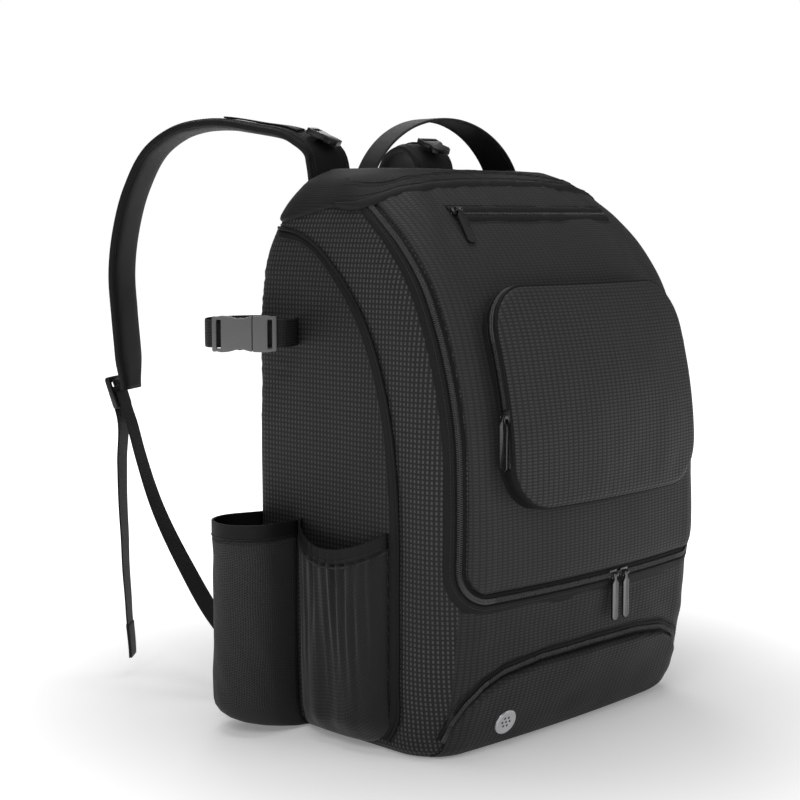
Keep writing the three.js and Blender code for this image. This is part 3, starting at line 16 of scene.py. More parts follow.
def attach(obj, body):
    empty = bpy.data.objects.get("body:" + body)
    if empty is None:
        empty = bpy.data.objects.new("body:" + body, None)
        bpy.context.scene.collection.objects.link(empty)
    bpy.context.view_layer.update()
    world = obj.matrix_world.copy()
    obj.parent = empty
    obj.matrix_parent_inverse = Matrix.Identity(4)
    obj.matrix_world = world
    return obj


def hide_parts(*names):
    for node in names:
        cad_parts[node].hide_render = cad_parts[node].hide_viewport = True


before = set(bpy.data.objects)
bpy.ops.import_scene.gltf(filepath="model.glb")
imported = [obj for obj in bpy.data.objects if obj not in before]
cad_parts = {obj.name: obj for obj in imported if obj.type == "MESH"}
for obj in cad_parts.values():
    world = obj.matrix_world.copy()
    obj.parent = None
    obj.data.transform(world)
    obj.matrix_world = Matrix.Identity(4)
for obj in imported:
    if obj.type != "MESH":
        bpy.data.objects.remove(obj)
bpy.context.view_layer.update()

mm = 0.001

# %% [markdown]
# ## Camera
# A product photograph is taken from far off with a long lens, so that upright edges stay upright. A
# wide lens close by would swell the near pocket. The lens and place here come from lining up the
# base, the handle and the sides.

# %% Camera
lens_mm = 74.25
sensor_mm = 36
camera_place = (-1.2042, -1.0846, 0.4797)
camera_turn = (83.7, 0, -45.5)

camera_data = bpy.data.cameras.new("camera")
camera_data.sensor_width = sensor_mm
camera_data.lens = lens_mm
camera = bpy.data.objects.new("camera", camera_data)
camera.location = camera_place
camera.rotation_euler = [math.radians(turn) for turn in camera_turn]
bpy.context.scene.collection.objects.link(camera)
bpy.context.scene.camera = camera
print("camera looks down by", 90 - camera_turn[0], "degrees")

# %% [markdown]
# ## Floor and light
# Dark cloth shows its form only by what it reflects, so the studio is a white room: a white floor, a
# white surround and large soft lamps. One lamp from the left front carries the picture, one from
# above draws the top edges, and one from behind lifts the straps off the ground.

# %% Colours and nodes


def rgb(code):
    """A hex colour as the linear numbers that a shader takes."""
    parts = [int(code[i : i + 2], 16) / 255 for i in (1, 3, 5)]
    return (*[p / 12.92 if p <= 0.04045 else ((p + 0.055) / 1.055) ** 2.4 for p in parts], 1)


def node(tree, kind, settings=None, links=None):
    """Adds a node, with its settings by attribute or input and its links by input."""
    made = tree.nodes.new(kind)
    for key, value in (settings or {}).items():
        if isinstance(key, str) and hasattr(made, key):
            setattr(made, key, value)
        else:
            made.inputs[key].default_value = value
    for key, socket in (links or {}).items():
        tree.links.new(socket, made.inputs[key])
    return made


def new_finish(name, **settings):
    """A material with one Principled shader, which takes the settings that are the same all over."""
    made = bpy.data.materials.new(name)
    made.use_nodes = True
    tree = made.node_tree
    tree.nodes.clear()
    inputs = {key.replace("_", " "): value for key, value in settings.items()}
    shader = node(tree, "ShaderNodeBsdfPrincipled", inputs)
    node(tree, "ShaderNodeOutputMaterial", links={"Surface": shader.outputs["BSDF"]})
    return made, tree, shader


print("linear value of middle grey:", round(rgb("#808080")[0], 3))

# %% White room
white = (1, 1, 1, 1)
room_fill = 0.2  # light that the walls give the bag, where the camera sees them white

scene = bpy.context.scene
scene.view_settings.view_transform = "Standard"
world = bpy.data.worlds.new("studio")
scene.world = world
world.use_nodes = True
sky = world.node_tree
room = sky.nodes["Background"]
room.inputs["Color"].default_value = white
seen = node(sky, "ShaderNodeLightPath")
level = node(sky, "ShaderNodeMapRange", {3: room_fill, 4: 1.0}, {0: seen.outputs["Is Camera Ray"]})
sky.links.new(level.outputs[0], room.inputs["Strength"])

print("room fill:", room_fill)

# %% Floor
floor_half = 6
glow_from = 0.22  # distances from the bag between which the paper turns from lit to glowing
glow_full = 0.85
glow_near = 0.2

floor_form = bmesh.new()
bmesh.ops.create_grid(floor_form, x_segments=1, y_segments=1, size=floor_half)
floor_mesh = bpy.data.meshes.new("floor")
floor_form.to_mesh(floor_mesh)
floor_form.free()
floor = bpy.data.objects.new("floor", floor_mesh)
scene.collection.objects.link(floor)
paper, tree, shader = new_finish(
    "white paper sweep with painted glow",
    Base_Color=(0.9, 0.9, 0.9, 1),
    Roughness=1.0,
    Specular_IOR_Level=0.0,
    Emission_Color=white,
)
# Painted light: the paper glows by itself, from glow_near beside the bag up to white further off. The far floor is
# white without lamps, and the shade round the bag is painted deeper.
at = node(tree, "ShaderNodeTexCoord")
away = node(tree, "ShaderNodeVectorMath", {"operation": "LENGTH"}, {0: at.outputs["Object"]})
fade = {"interpolation_type": "SMOOTHSTEP", 1: glow_from, 2: glow_full, 3: glow_near, 4: 1.0}
glow = node(tree, "ShaderNodeMapRange", fade, {0: away.outputs["Value"]})
tree.links.new(glow.outputs[0], shader.inputs["Emission Strength"])
floor_mesh.materials.append(paper)
print("floor:", 2 * floor_half, "m across")

# %% Lamps
lamps = {
    "key": {"place": (-2.0, -1.1, 2.1), "size": 1.3, "power": 21},
    "front": {"place": (1.3, -2.4, 1.6), "size": 1.2, "power": 8},
    "top": {"place": (0.0, 0.2, 2.4), "size": 1.6, "power": 19},
    "rear": {"place": (1.6, 2.2, 1.8), "size": 1.4, "power": 13},
}
aim = Vector((0, 0, 0.28))
for name, lamp in lamps.items():
    light = bpy.data.lights.new(name, "AREA")
    light.size = lamp["size"]
    light.energy = lamp["power"]
    holder = bpy.data.objects.new(name, light)
    holder.location = lamp["place"]
    holder.rotation_euler = (aim - holder.location).to_track_quat("-Z", "Y").to_euler()
    scene.collection.objects.link(holder)
print("lamps:", len(lamps))

# %% [markdown]
# ## Cloth finishes
# The bag's outer cloth is nylon dobby: a dark ground with a small raised block of floats in each cell
# of a grid. It could be a picture of cloth, but a pattern from arithmetic stays sharp at any distance
# and keeps its size in millimetres. The UV map that each piece carries is measured in metres of cloth,
# so one divide gives the cell, and the block is where both shares are near the middle.

# %% Cells of a weave
thread_drift = 0.45 * mm  # how far the cells wander from their grid


def cell_mask(tree, cell, block, soft):
    """1 on the raised block in each cell of the cloth's grid and 0 on the ground between."""
    uv = node(tree, "ShaderNodeUVMap", {"uv_map": "cloth"})
    wobble = node(tree, "ShaderNodeTexNoise", {"Scale": 60.0, "Detail": 1.0}, {"Vector": uv.outputs[0]})
    vector = "ShaderNodeVectorMath"
    drift = {"operation": "SCALE", "Scale": thread_drift}
    shift = node(tree, vector, drift, {0: wobble.outputs["Color"]})
    place = node(tree, vector, {"operation": "ADD"}, {0: uv.outputs[0], 1: shift.outputs[0]})
    per_cell = {"operation": "MULTIPLY", 1: (1 / cell[0], 1 / cell[1], 1)}
    scaled = node(tree, vector, per_cell, {0: place.outputs[0]})
    part = node(tree, vector, {"operation": "FRACTION"}, {0: scaled.outputs[0]})
    centred = {"operation": "SUBTRACT", 1: (0.5, 0.5, 0)}
    middle = node(tree, vector, centred, {0: part.outputs[0]})
    far = node(tree, vector, {"operation": "ABSOLUTE"}, {0: middle.outputs[0]})
    axes = node(tree, "ShaderNodeSeparateXYZ", links={0: far.outputs[0]})
    sides = []
    for i, half in enumerate(block):
        edge = {"interpolation_type": "SMOOTHSTEP", 1: half + soft, 2: half - soft}
        sides.append(node(tree, "ShaderNodeMapRange", edge, {0: axes.outputs[i]}).outputs[0])
    raised = node(tree, "ShaderNodeMath", {"operation": "MULTIPLY"}, dict(enumerate(sides)))
    return raised.outputs[0], uv


print("drift of the weave:", thread_drift / mm, "mm")

# %% Dobby nylon


def mixed(tree, share, first, second):
    """Colour between two, by a share."""
    made = node(tree, "ShaderNodeMix", {"data_type": "RGBA", 6: rgb(first), 7: rgb(second)}, {0: share})
    return made.outputs[2]


def bumped(tree, shader, height, depth, strength=1.0):
    """Gives the shader the relief of a height from 0 to 1, in metres of depth."""
    relief = node(tree, "ShaderNodeBump", {"Strength": strength, "Distance": depth}, {"Height": height})
    tree.links.new(relief.outputs[0], shader.inputs["Normal"])


def dobby(name, cell, block, ground, face, relief=0.25 * mm):
    """Nylon woven with a raised block in each cell. Its floats lie flat and catch the light; the face colour, lighter
    than the ground, is painted sheen on them.
    """
    made, tree, shader = new_finish(name, Specular_IOR_Level=0.25, IOR=1.53)
    mask, uv = cell_mask(tree, cell, block, soft=0.1)
    patch = node(tree, "ShaderNodeTexNoise", {"Scale": 9.0, "Detail": 2.0}, {"Vector": uv.outputs[0]})
    thread = node(tree, "ShaderNodeTexNoise", {"Scale": 900.0, "Detail": 1.0}, {"Vector": uv.outputs[0]})
    uneven = node(tree, "ShaderNodeMapRange", {1: 0.3, 2: 0.7, 3: 0.72, 4: 1.0}, {0: patch.outputs[0]})
    share = node(tree, "ShaderNodeMath", {"operation": "MULTIPLY"}, {0: mask, 1: uneven.outputs[0]})
    spun = node(tree, "ShaderNodeMapRange", {3: 0.75, 4: 1.1}, {0: thread.outputs[0]})
    lit = node(tree, "ShaderNodeMath", {"operation": "MULTIPLY"}, {0: share.outputs[0], 1: spun.outputs[0]})
    tree.links.new(mixed(tree, lit.outputs[0], ground, face), shader.inputs["Base Color"])
    gloss = node(tree, "ShaderNodeMapRange", {3: 0.72, 4: 0.5}, {0: share.outputs[0]})
    tree.links.new(gloss.outputs[0], shader.inputs["Roughness"])
    over = {"operation": "MULTIPLY_ADD", 1: 0.25}
    height = node(tree, "ShaderNodeMath", over, {0: thread.outputs[0], 2: mask})
    bumped(tree, shader, height.outputs[0], relief)
    return made


side_cell = (4.4 * mm, 4.4 * mm)
side_block = (0.2, 0.3)  # half the raised block, as shares of its cell
front_cell = (6.0 * mm, 2.9 * mm)
front_block = (0.34, 0.28)
# Dobby nylon, woven and calendered: dull ground, blocks with a soft shine, each drawn a shade lighter as painted
# sheen.
side_dobby = dobby("dobby nylon side cloth", side_cell, side_block, "#1c1c1d", "#4a4a4b")
panel_dobby = dobby("dobby nylon inset cloth", side_cell, side_block, "#1a1a1b", "#3e3e3f")
front_dobby = dobby("dobby nylon front cloth", front_cell, front_block, "#242425", "#313132", 0.15 * mm)
# Painted sheen: the small pocket's blocks are drawn lighter than the flap's, where its domed face catches more light.
pocket_dobby_painted_sheen = dobby("dobby nylon pocket cloth, painted sheen", front_cell, front_block, "#222223", "#383839", 0.2 * mm)
# Painted shade: the lower front and the shoe flap are the front's cloth drawn darker, for the shade low on the bag.
lower_dobby_painted_shade = dobby("dobby nylon lower cloth, painted shade", front_cell, front_block, "#1e1e1f", "#2b2b2c", 0.15 * mm)
print("side cell:", [round(size / mm, 1) for size in side_cell], "mm")
print("front cell:", [round(size / mm, 1) for size in front_cell], "mm")

# %% [markdown]
# Plain woven pieces, webbing, mesh and stretch cloth differ in how their threads run. Each gets its
# own rhythm: a fine check for plain nylon, ribs across a webbing, round holes in a mesh, and upright
# wales on a knit. Threads thinner than half a millimetre would only flicker, so they are drawn as
# coarse as they need to be to show.

# %% Woven cloth
wave_length = 0.314  # a wave texture at a scale of 1 repeats after this many units


def woven(name, ground, face, cell, rough, relief=0.15 * mm, **settings):
    """Plain or ribbed cloth: two waves across each other, as wide apart as the cell says."""
    made, tree, shader = new_finish(name, Specular_IOR_Level=0.22, Roughness=rough, **settings)
    uv = node(tree, "ShaderNodeUVMap", {"uv_map": "cloth"})
    waves = []
    for axis, size in zip("XY", cell):
        wave = {"bands_direction": axis, "Scale": wave_length / size, "Distortion": 0.4, "Detail": 0.0}
        made_wave = node(tree, "ShaderNodeTexWave", wave, {"Vector": uv.outputs[0]})
        waves.append(made_wave.outputs["Fac"])
    weave = node(tree, "ShaderNodeMath", {"operation": "MULTIPLY"}, dict(enumerate(waves)))
    patch = node(tree, "ShaderNodeTexNoise", {"Scale": 14.0, "Detail": 3.0}, {"Vector": uv.outputs[0]})
    uneven = node(tree, "ShaderNodeMapRange", {1: 0.3, 2: 0.7, 3: 0.6, 4: 1.0}, {0: patch.outputs[0]})
    share = node(tree, "ShaderNodeMath", {"operation": "MULTIPLY"}, {0: weave.outputs[0], 1: uneven.outputs[0]})
    tree.links.new(mixed(tree, share.outputs[0], ground, face), shader.inputs["Base Color"])
    bumped(tree, shader, weave.outputs[0], relief)
    return made


print("a wave at scale 1 is", wave_length, "long")

# %% Woven finishes
# Plain nylon with a coating on its back: even and dull, with a faint check.
plain_nylon = woven("plain nylon trim", "#0e0e0f", "#1c1c1e", (1.3 * mm, 1.3 * mm), rough=0.62)
roof_nylon = woven("plain nylon yoke", "#151516", "#28282a", (1.6 * mm, 1.6 * mm), rough=0.66)
# Polyester webbing, woven on a narrow loom: ribs across it, dull with a slight glint.
webbing_weave = woven("polyester webbing", "#121213", "#2b2b2d", (2.4 * mm, 1.6 * mm), 0.6, 0.3 * mm)
handle_weave = woven("polyester handle webbing", "#161617", "#303032", (1.6 * mm, 1.2 * mm), rough=0.58)
# Polyester binding tape: a fine rib that runs along the edge.
binding_weave = woven("polyester binding tape", "#09090a", "#151516", (1.0 * mm, 1.4 * mm), rough=0.6)
# Elastane knit: upright wales with a soft shine. The real knit darkens where it is stretched; this finish is even all
# over.
wales = (1.9 * mm, 3.4 * mm)
stretch_knit = woven("stretch knit", "#0b0b0c", "#19191b", wales, 0.55, 0.3 * mm, Sheen_Weight=0.15)
# Polyester tape: close and dull, so that the coil on it stands out.
tape_weave = woven("polyester zipper tape", "#070708", "#121213", (1.0 * mm, 1.0 * mm), rough=0.6)
print("wales of the knit:", round(wales[0] / mm, 1), "mm apart")

# %% Mesh cloth


def mesh_cloth(name, hole, ground, face, relief):
    """Warp-knitted mesh: a net of round holes, as far apart as hole says. The holes are not cut; their near-black
    ground colour is painted shade of the hollow behind them.
    """
    made, tree, shader = new_finish(name, Roughness=0.7, Specular_IOR_Level=0.35)
    uv = node(tree, "ShaderNodeUVMap", {"uv_map": "cloth"})
    scaled = node(tree, "ShaderNodeMapping", {"Scale": (1 / hole, 1 / hole, 1)}, {"Vector": uv.outputs[0]})
    net = {"Scale": 1.0, "Randomness": 0.12}
    cells = node(tree, "ShaderNodeTexVoronoi", net, {"Vector": scaled.outputs[0]})
    rim = {"interpolation_type": "SMOOTHSTEP", 1: 0.2, 2: 0.42}
    solid = node(tree, "ShaderNodeMapRange", rim, {0: cells.outputs["Distance"]})
    tree.links.new(mixed(tree, solid.outputs[0], ground, face), shader.inputs["Base Color"])
    bumped(tree, shader, solid.outputs[0], relief)
    return made


# Polyester mesh: dull threads round holes painted near black as shade.
sleeve_net = 2.4 * mm
pad_net = 3.2 * mm
sleeve_mesh = mesh_cloth("polyester sleeve mesh", sleeve_net, "#040404", "#2c2c2e", 0.4 * mm)
pad_mesh = mesh_cloth("polyester spacer mesh", pad_net, "#070708", "#232325", 0.6 * mm)
print("mesh holes:", round(sleeve_net / mm, 1), "and", round(pad_net / mm, 1), "mm apart")

# %% [markdown]
# ## Plastic and metal finishes
# The fittings are moulded acetal, which leaves the mould with a fine grain and a dull shine. The
# sliders are zinc castings with black lacquer, and the vent is bright. A moulded face is never
# perfectly even, so noise at the size of the mould's grain moves both the relief and the roughness.

# %% Moulded and cast finishes


def moulded(name, colour, rough, grain, relief, **settings):
    """A moulded or cast finish: one colour, with the grain of its mould in relief and roughness."""
    made, tree, shader = new_finish(name, Base_Color=rgb(colour), **settings)
    place = {"Vector": node(tree, "ShaderNodeTexCoord").outputs["Object"]}
    pores = node(tree, "ShaderNodeTexNoise", {"Scale": 1 / grain, "Detail": 3.0}, place)
    wear = node(tree, "ShaderNodeTexNoise", {"Scale": 90.0, "Detail": 2.0}, place)
    handled = {1: 0.3, 2: 0.7, 3: rough - 0.07, 4: rough + 0.09}
    dull = node(tree, "ShaderNodeMapRange", handled, {0: wear.outputs[0]})
    tree.links.new(dull.outputs[0], shader.inputs["Roughness"])
    bumped(tree, shader, pores.outputs[0], relief)
    return made


# Moulded acetal: dense and waxy, with a broad soft highlight.
grey_acetal = moulded("moulded grey acetal", "#5a5a5b", 0.42, 0.6 * mm, 0.03 * mm, IOR=1.48)
black_acetal = moulded("moulded black acetal", "#0f0f10", 0.36, 0.6 * mm, 0.03 * mm, IOR=1.48)
# Drawn nylon filament: glossier than the tape under it, so each tooth has a glint. The coil is black, and its lighter
# grey colour is a painted glint that lets the teeth show.
coil_nylon_painted_glint = moulded("nylon zipper coil with painted glint", "#303031", 0.28, 0.4 * mm, 0.02 * mm, IOR=1.53)
# Cast zinc under black lacquer: nearly black with a clear, sharp highlight.
black_zinc = moulded("black lacquered zinc", "#131314", 0.24, 0.8 * mm, 0.02 * mm, IOR=1.5, Coat_Weight=0.5)
# Painted shade: near-black discs fill the vent's holes for the dark inside them, dark from every side.
vent_hole_painted_shade = moulded("painted shade in vent holes", "#0c0c0d", 0.4, 0.5 * mm, 0.03 * mm, IOR=1.52)
# Anodised aluminium: the one bright spot, with an even satin shine.
vent_metal = moulded("satin anodised aluminium", "#c6c6c8", 0.34, 0.5 * mm, 0.02 * mm, Metallic=1.0)
# Bonded polyester thread: a shade lighter than the cloth, with a faint gloss.
sewing_thread = moulded("polyester sewing thread", "#161617", 0.5, 0.4 * mm, 0.04 * mm, IOR=1.5)
print("grey acetal, linear:", round(rgb("#5a5a5b")[0], 3))

# %% [markdown]
# ## The body's surface
# Every outer panel of the bag lies on one lofted form. Its sections change from base to top, and two
# numbers find any place on it: how far round from the middle of the front, and how high. A panel is
# then a flat grid laid over that form, the way its pattern piece is sewn over the real bag. The
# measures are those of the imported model, and a smooth curve runs through its sections.

# %% Measures of the form
body_height = 522 * mm
half_width = 188 * mm
front_depth = 152 * mm
back_depth = 113 * mm
front_radius = 50 * mm
back_radius = 30 * mm
profile = {
    "rise": (0, 0.0115, 0.034, 0.076, 0.134, 0.22, 0.458, 0.56, 0.658, 0.74, 0.82, 0.88, 0.926, 0.96, 0.985, 1),
    "half": (0.92, 0.965, 0.985, 0.995, 1, 1, 1, 0.998, 0.996, 0.991, 0.977, 0.946, 0.9, 0.835, 0.752, 0.65),
    "front": (0.74, 0.785, 0.83, 0.88, 0.93, 0.965, 1, 0.982, 0.921, 0.838, 0.707, 0.551, 0.401, 0.276, 0.164, 0.053),
    "crown": (0.03, 0.03, 0.035, 0.04, 0.05, 0.055, 0.065, 0.072, 0.08, 0.086, 0.092, 0.09, 0.08, 0.07, 0.05, 0.03),
    "back": (0.9, 0.955, 0.985, 1, 1, 1, 1, 1, 1, 1, 1, 1, 0.99, 0.973, 0.938, 0.867),
    "front_bend": (0.8, 0.85, 0.9, 1, 1, 1, 1, 1, 1, 1, 1, 1, 1.05, 1.1, 1.05, 0.9),
    "back_bend": (0.9, 1, 1, 1, 1, 1, 1, 1, 1, 1, 1.15, 1.35, 1.6, 1.85, 1.9, 1.7),
    "zip_turn": (40, 40, 40, 40, 40, 40, 40, 40, 41, 43, 46, 53, 63, 73, 80, 85),
}
profile_sizes = {
    "half": half_width,
    "front": front_depth,
    "crown": front_depth,
    "back": back_depth,
    "front_bend": front_radius,
    "back_bend": back_radius,
    "zip_turn": math.pi / 180,
}


def smooth_through(places, values, at):
    """Values of a smooth curve through the points, whose slope at each comes from its neighbours."""
    places, values = np.array(places, float), np.array(values, float)
    slope = np.gradient(values, places)
    at = np.clip(at, places[0], places[-1])
    i = np.clip(np.searchsorted(places, at) - 1, 0, len(places) - 2)
    step = places[i + 1] - places[i]
    t = (at - places[i]) / step
    rising = t * (1 - t) ** 2 * step * slope[i] - t * t * (1 - t) * step * slope[i + 1]
    return (1 + 2 * t) * (1 - t) ** 2 * values[i] + t * t * (3 - 2 * t) * values[i + 1] + rising


def section(z):
    """The body's lengths at heights z."""
    rise = np.clip(np.asarray(z, float) / body_height, 0, 1)
    shares = {key: smooth_through(profile["rise"], profile[key], rise) for key in profile_sizes}
    return {key: shares[key] * size for key, size in profile_sizes.items()}


print("widest:", round(float(2 * section(0.2)["half"]), 3), "m")

# %% Places on the form
quarter = math.pi / 2
upwards = np.array([0, 0, 1.0])


def reaches(s):
    """Distances round at which the front, its corner, the side and the back corner end."""
    flat = s["half"] - s["front_bend"]
    corner = flat + quarter * s["front_bend"]
    side = corner + s["front"] + s["back"] - s["front_bend"] - s["back_bend"]
    return flat, corner, side, side + quarter * s["back_bend"]


def body_point(d, z):
    """Point on the body a distance d round from the middle of the front, at height z."""
    d, z = np.broadcast_arrays(np.asarray(d, float), np.asarray(z, float))
    s = section(z)
    flat, corner, side, turned = reaches(s)
    way = np.where(d < 0, -1.0, 1.0)
    d = np.abs(d)
    fore = np.clip((d - flat) / s["front_bend"], 0, quarter)
    rear = np.clip((d - side) / s["back_bend"], 0, quarter)
    x = np.where(d < flat, d, flat + s["front_bend"] * np.sin(fore))
    x = x - s["back_bend"] * (1 - np.cos(rear)) - np.maximum(0, d - turned)
    bow = s["crown"] * np.clip(1 - (d / flat) ** 2, 0, 1)
    y = -s["front"] - bow + s["front_bend"] * (1 - np.cos(fore)) + np.clip(d - corner, 0, side - corner)
    y = y + s["back_bend"] * np.sin(rear)
    return np.stack([x * way, y, z], axis=-1)


def unit(vectors):
    """The same directions with a length of 1."""
    vectors = np.asarray(vectors, float)
    return vectors / np.maximum(np.linalg.norm(vectors, axis=-1, keepdims=True), 1e-12)


def body_normal(d, z):
    """Outward direction of the body there."""
    d, z = np.broadcast_arrays(np.asarray(d, float), np.asarray(z, float))
    step = 2 * mm
    low, high = np.clip(z - step, 0, body_height), np.clip(z + step, 0, body_height)
    level = body_point(d + step, z) - body_point(d - step, z)
    return unit(np.cross(level, body_point(d, high) - body_point(d, low)))


def lay(d, z, out):
    """Point that stands out from the body there."""
    return body_point(d, z) + body_normal(d, z) * np.asarray(out, float)[..., None]


def front_distance(x, z):
    """Distance round to a place on the front with that x."""
    s = section(z)
    flat = s["half"] - s["front_bend"]
    past = np.clip((np.abs(x) - flat) / s["front_bend"], 0, 1)
    return np.sign(x) * (np.minimum(np.abs(x), flat) + s["front_bend"] * np.arcsin(past))


def side_distance(y, z):
    """Distance round to a place on the right side with that y."""
    s = section(z)
    flat, corner, side, _ = reaches(s)
    along = np.asarray(y, float) + s["front"] - s["front_bend"]
    fore = np.arccos(np.clip(1 - (np.asarray(y) + s["front"]) / s["front_bend"], 0, 1))
    rear = np.arcsin(np.clip((np.asarray(y) - s["back"] + s["back_bend"]) / s["back_bend"], 0, 1))
    straight = corner + np.clip(along, 0, side - corner)
    return np.where(along < 0, flat + s["front_bend"] * fore, straight + s["back_bend"] * rear)


def zip_distance(z):
    """Distance round to the main zipper's line at a height."""
    s = section(z)
    return s["half"] - s["front_bend"] + s["zip_turn"] * s["front_bend"]


def lengths_of(line):
    """Distance along a line at each of its points."""
    steps = np.linalg.norm(np.diff(np.asarray(line, float), axis=0), axis=1)
    return np.concatenate([[0], np.cumsum(steps)])


heights = np.linspace(0, body_height, 400)
rise_length = lengths_of(body_point(0, heights))


def cloth_rise(z):
    """Length of cloth from the base up to a height."""
    return np.interp(z, heights, rise_length)


print("cloth from base to top:", round(float(rise_length[-1]), 3), "m")

# %% [markdown]
# ## Skins and sweeps
# Two helpers make nearly every soft piece. A skin is a grid whose vertices are moved to rows of
# points, and it carries a UV map measured in metres of cloth. A sweep puts the same small section at
# each step of a line, which suits straps, piping and tapes. Grids keep their quads, so they take
# folds, thickness and smoothing well.

# %% Skins
merge_reach = 1e-6


def measured(points):
    """Cloth coordinates of rows of points, from the lengths between them."""
    across = np.linalg.norm(np.diff(points, axis=1), axis=2)
    up = np.linalg.norm(np.diff(points, axis=0), axis=2)
    u = np.pad(np.cumsum(across, axis=1), ((0, 0), (1, 0)))
    v = np.pad(np.cumsum(up, axis=0), ((1, 0), (0, 0)))
    return np.stack([u, v], axis=-1)


def skin(points, cloth=None, wrap=False, caps=False):
    """A bmesh of quads through rows of points. wrap joins its seam and caps fills its ends."""
    rows, columns = points.shape[:2]
    cloth = measured(points) if cloth is None else cloth
    form = bmesh.new()
    bmesh.ops.create_grid(form, x_segments=columns - 1, y_segments=rows - 1, size=0.5)
    layer = form.loops.layers.uv.new("cloth")
    spots = {}
    for vert in form.verts:
        row, column = (vert.co.y + 0.5) * (rows - 1), (vert.co.x + 0.5) * (columns - 1)
        spots[vert] = (round(row), round(column))
    for face in form.faces:
        for loop in face.loops:
            loop[layer].uv = cloth[spots[loop.vert]]
    for vert, spot in spots.items():
        vert.co = points[spot]
    if wrap:
        bmesh.ops.remove_doubles(form, verts=form.verts, dist=merge_reach)
    if caps:
        bmesh.ops.holes_fill(form, edges=[edge for edge in form.edges if edge.is_boundary], sides=0)
        bmesh.ops.recalc_face_normals(form, faces=form.faces)
    return form


def piece(form, name, finish, stands_for=(), body="bag", thick=0.0, rounds=0, smooth=True):
    """Writes a bmesh into an object that rides on a body, and says what it measures."""
    mesh = bpy.data.meshes.new(name)
    form.to_mesh(mesh)
    form.free()
    mesh.materials.append(finish)
    mesh.polygons.foreach_set("use_smooth", [smooth] * len(mesh.polygons))
    made = bpy.data.objects.new(name, mesh)
    scene.collection.objects.link(made)
    if thick:
        wall = made.modifiers.new("wall", "SOLIDIFY")
        wall.thickness = thick
        wall.offset = -1
    if rounds:
        softer = made.modifiers.new("rounding", "SUBSURF")
        softer.levels = softer.render_levels = rounds
    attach(made, body)
    if stands_for:
        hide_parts(*stands_for)
    print(f"{name}: {len(mesh.polygons)} faces")
    return made


print("vertices closer than", merge_reach, "m are merged")

# %% Rounding and noise


def rolled(share):
    """Height share of a rounded edge, by the share of the way in from it."""
    return np.sqrt(np.clip(1 - (1 - np.clip(share, 0, 1)) ** 2, 0, 1))


def smoothstep(share):
    """Share that starts and ends gently."""
    share = np.clip(share, 0, 1)
    return share * share * (3 - 2 * share)


def ripple(a, b, seed):
    """Smooth noise from -1 to 1 at pairs of numbers."""
    a, b = np.broadcast_arrays(a, b)
    pairs = zip(a.ravel().tolist(), b.ravel().tolist())
    return np.array([noise.noise(Vector((p, q, seed))) for p, q in pairs]).reshape(a.shape)


print("height a tenth of the way in from an edge:", round(float(rolled(0.1)), 2))

# %% [markdown]
# ## Body shell
# The shell is the bag's sides, back and base, and it backs every panel that is sewn on later. It
# could be one plate for each side, but real panels are sewn into one hanging form, so it is a single
# loft with its base and top closed. Broad, shallow noise lets the cloth sag between its seams.

# %% Body shell
foot_share = 0.035  # rows lie closer below and above these shares of the height
roof_share = 0.9
shell_sag = 0.5 * mm

foot_rises = np.linspace(0, foot_share, 9)
side_rises = np.linspace(foot_share, roof_share, 76)[1:]
roof_rises = np.linspace(roof_share, 1, 20)[1:]
shell_rows = np.concatenate([foot_rises, side_rises, roof_rises]) * body_height
turns, levels = np.meshgrid(np.linspace(-1, 1, 241), shell_rows)
girth = section(levels)
shell_d = turns * (reaches(girth)[3] + girth["half"] - girth["back_bend"])
sag = shell_sag * ripple(shell_d / 0.05, levels / 0.07, 1.0) * smoothstep(levels / 0.04)
shell_points = lay(shell_d, levels, sag)
shell_points[0, :, 2] = 0.0
level_u = np.abs(shell_d) - reaches(girth)[1] - girth["front"] + girth["front_bend"]
shell_form = skin(shell_points, np.stack([level_u, levels], axis=-1), wrap=True, caps=True)
shell_tree = BVHTree.FromBMesh(shell_form)
piece(shell_form, "main_shell_cloth", side_dobby, ["main_shell"])

# %% [markdown]
# ## Front panels
# The front is a flap that unzips, with a lower panel and a shoe flap beneath it. A flat cut-out would
# look like card. On the bag, each panel is turned under at its seam and pushed out by what is behind
# it, so its edge rolls over within a few millimetres and its middle stands proud. Under the yoke the
# cloth is gathered, which leaves short folds that fade downwards.

# %% Lines of the front
flap_foot = 147 * mm
flap_corner = 30 * mm
zip_half = 6 * mm
shoe_top = 86 * mm
shoe_half = 168 * mm
shoe_foot = 4 * mm
yoke_middle = 510 * mm
yoke_end = 470 * mm
shoe_line = {
    "x": (0, 0.42, 0.7, 0.84, 0.92, 0.97, 0.995, 1),
    "rise": (1, 0.985, 0.91, 0.79, 0.63, 0.42, 0.2, 0),
}
yoke_line = {
    "x": (0, 0.28, 0.52, 0.72, 0.84, 0.9, 1.2),
    "lift": (1, 0.98, 0.92, 0.78, 0.57, 0.44, 0.3),
}


def yoke_height(x):
    """Height of the yoke's front edge."""
    lift = np.interp(np.abs(x) / half_width, yoke_line["x"], yoke_line["lift"])
    return yoke_end + (yoke_middle - yoke_end) * lift


def shoe_height(x):
    """Height of the shoe flap's zipper."""
    share = np.interp(np.abs(x) / shoe_half, shoe_line["x"], shoe_line["rise"])
    return shoe_foot + (shoe_top - shoe_foot) * share


def corner_inset(z, foot, corner):
    """How far the flap's edge is drawn in where its foot turns a round corner."""
    lift = np.clip(foot + corner - z, 0, corner)
    return corner - np.sqrt(np.maximum(corner**2 - lift**2, 0))


print("yoke edge at the middle:", round(float(yoke_height(0)), 3), "m")

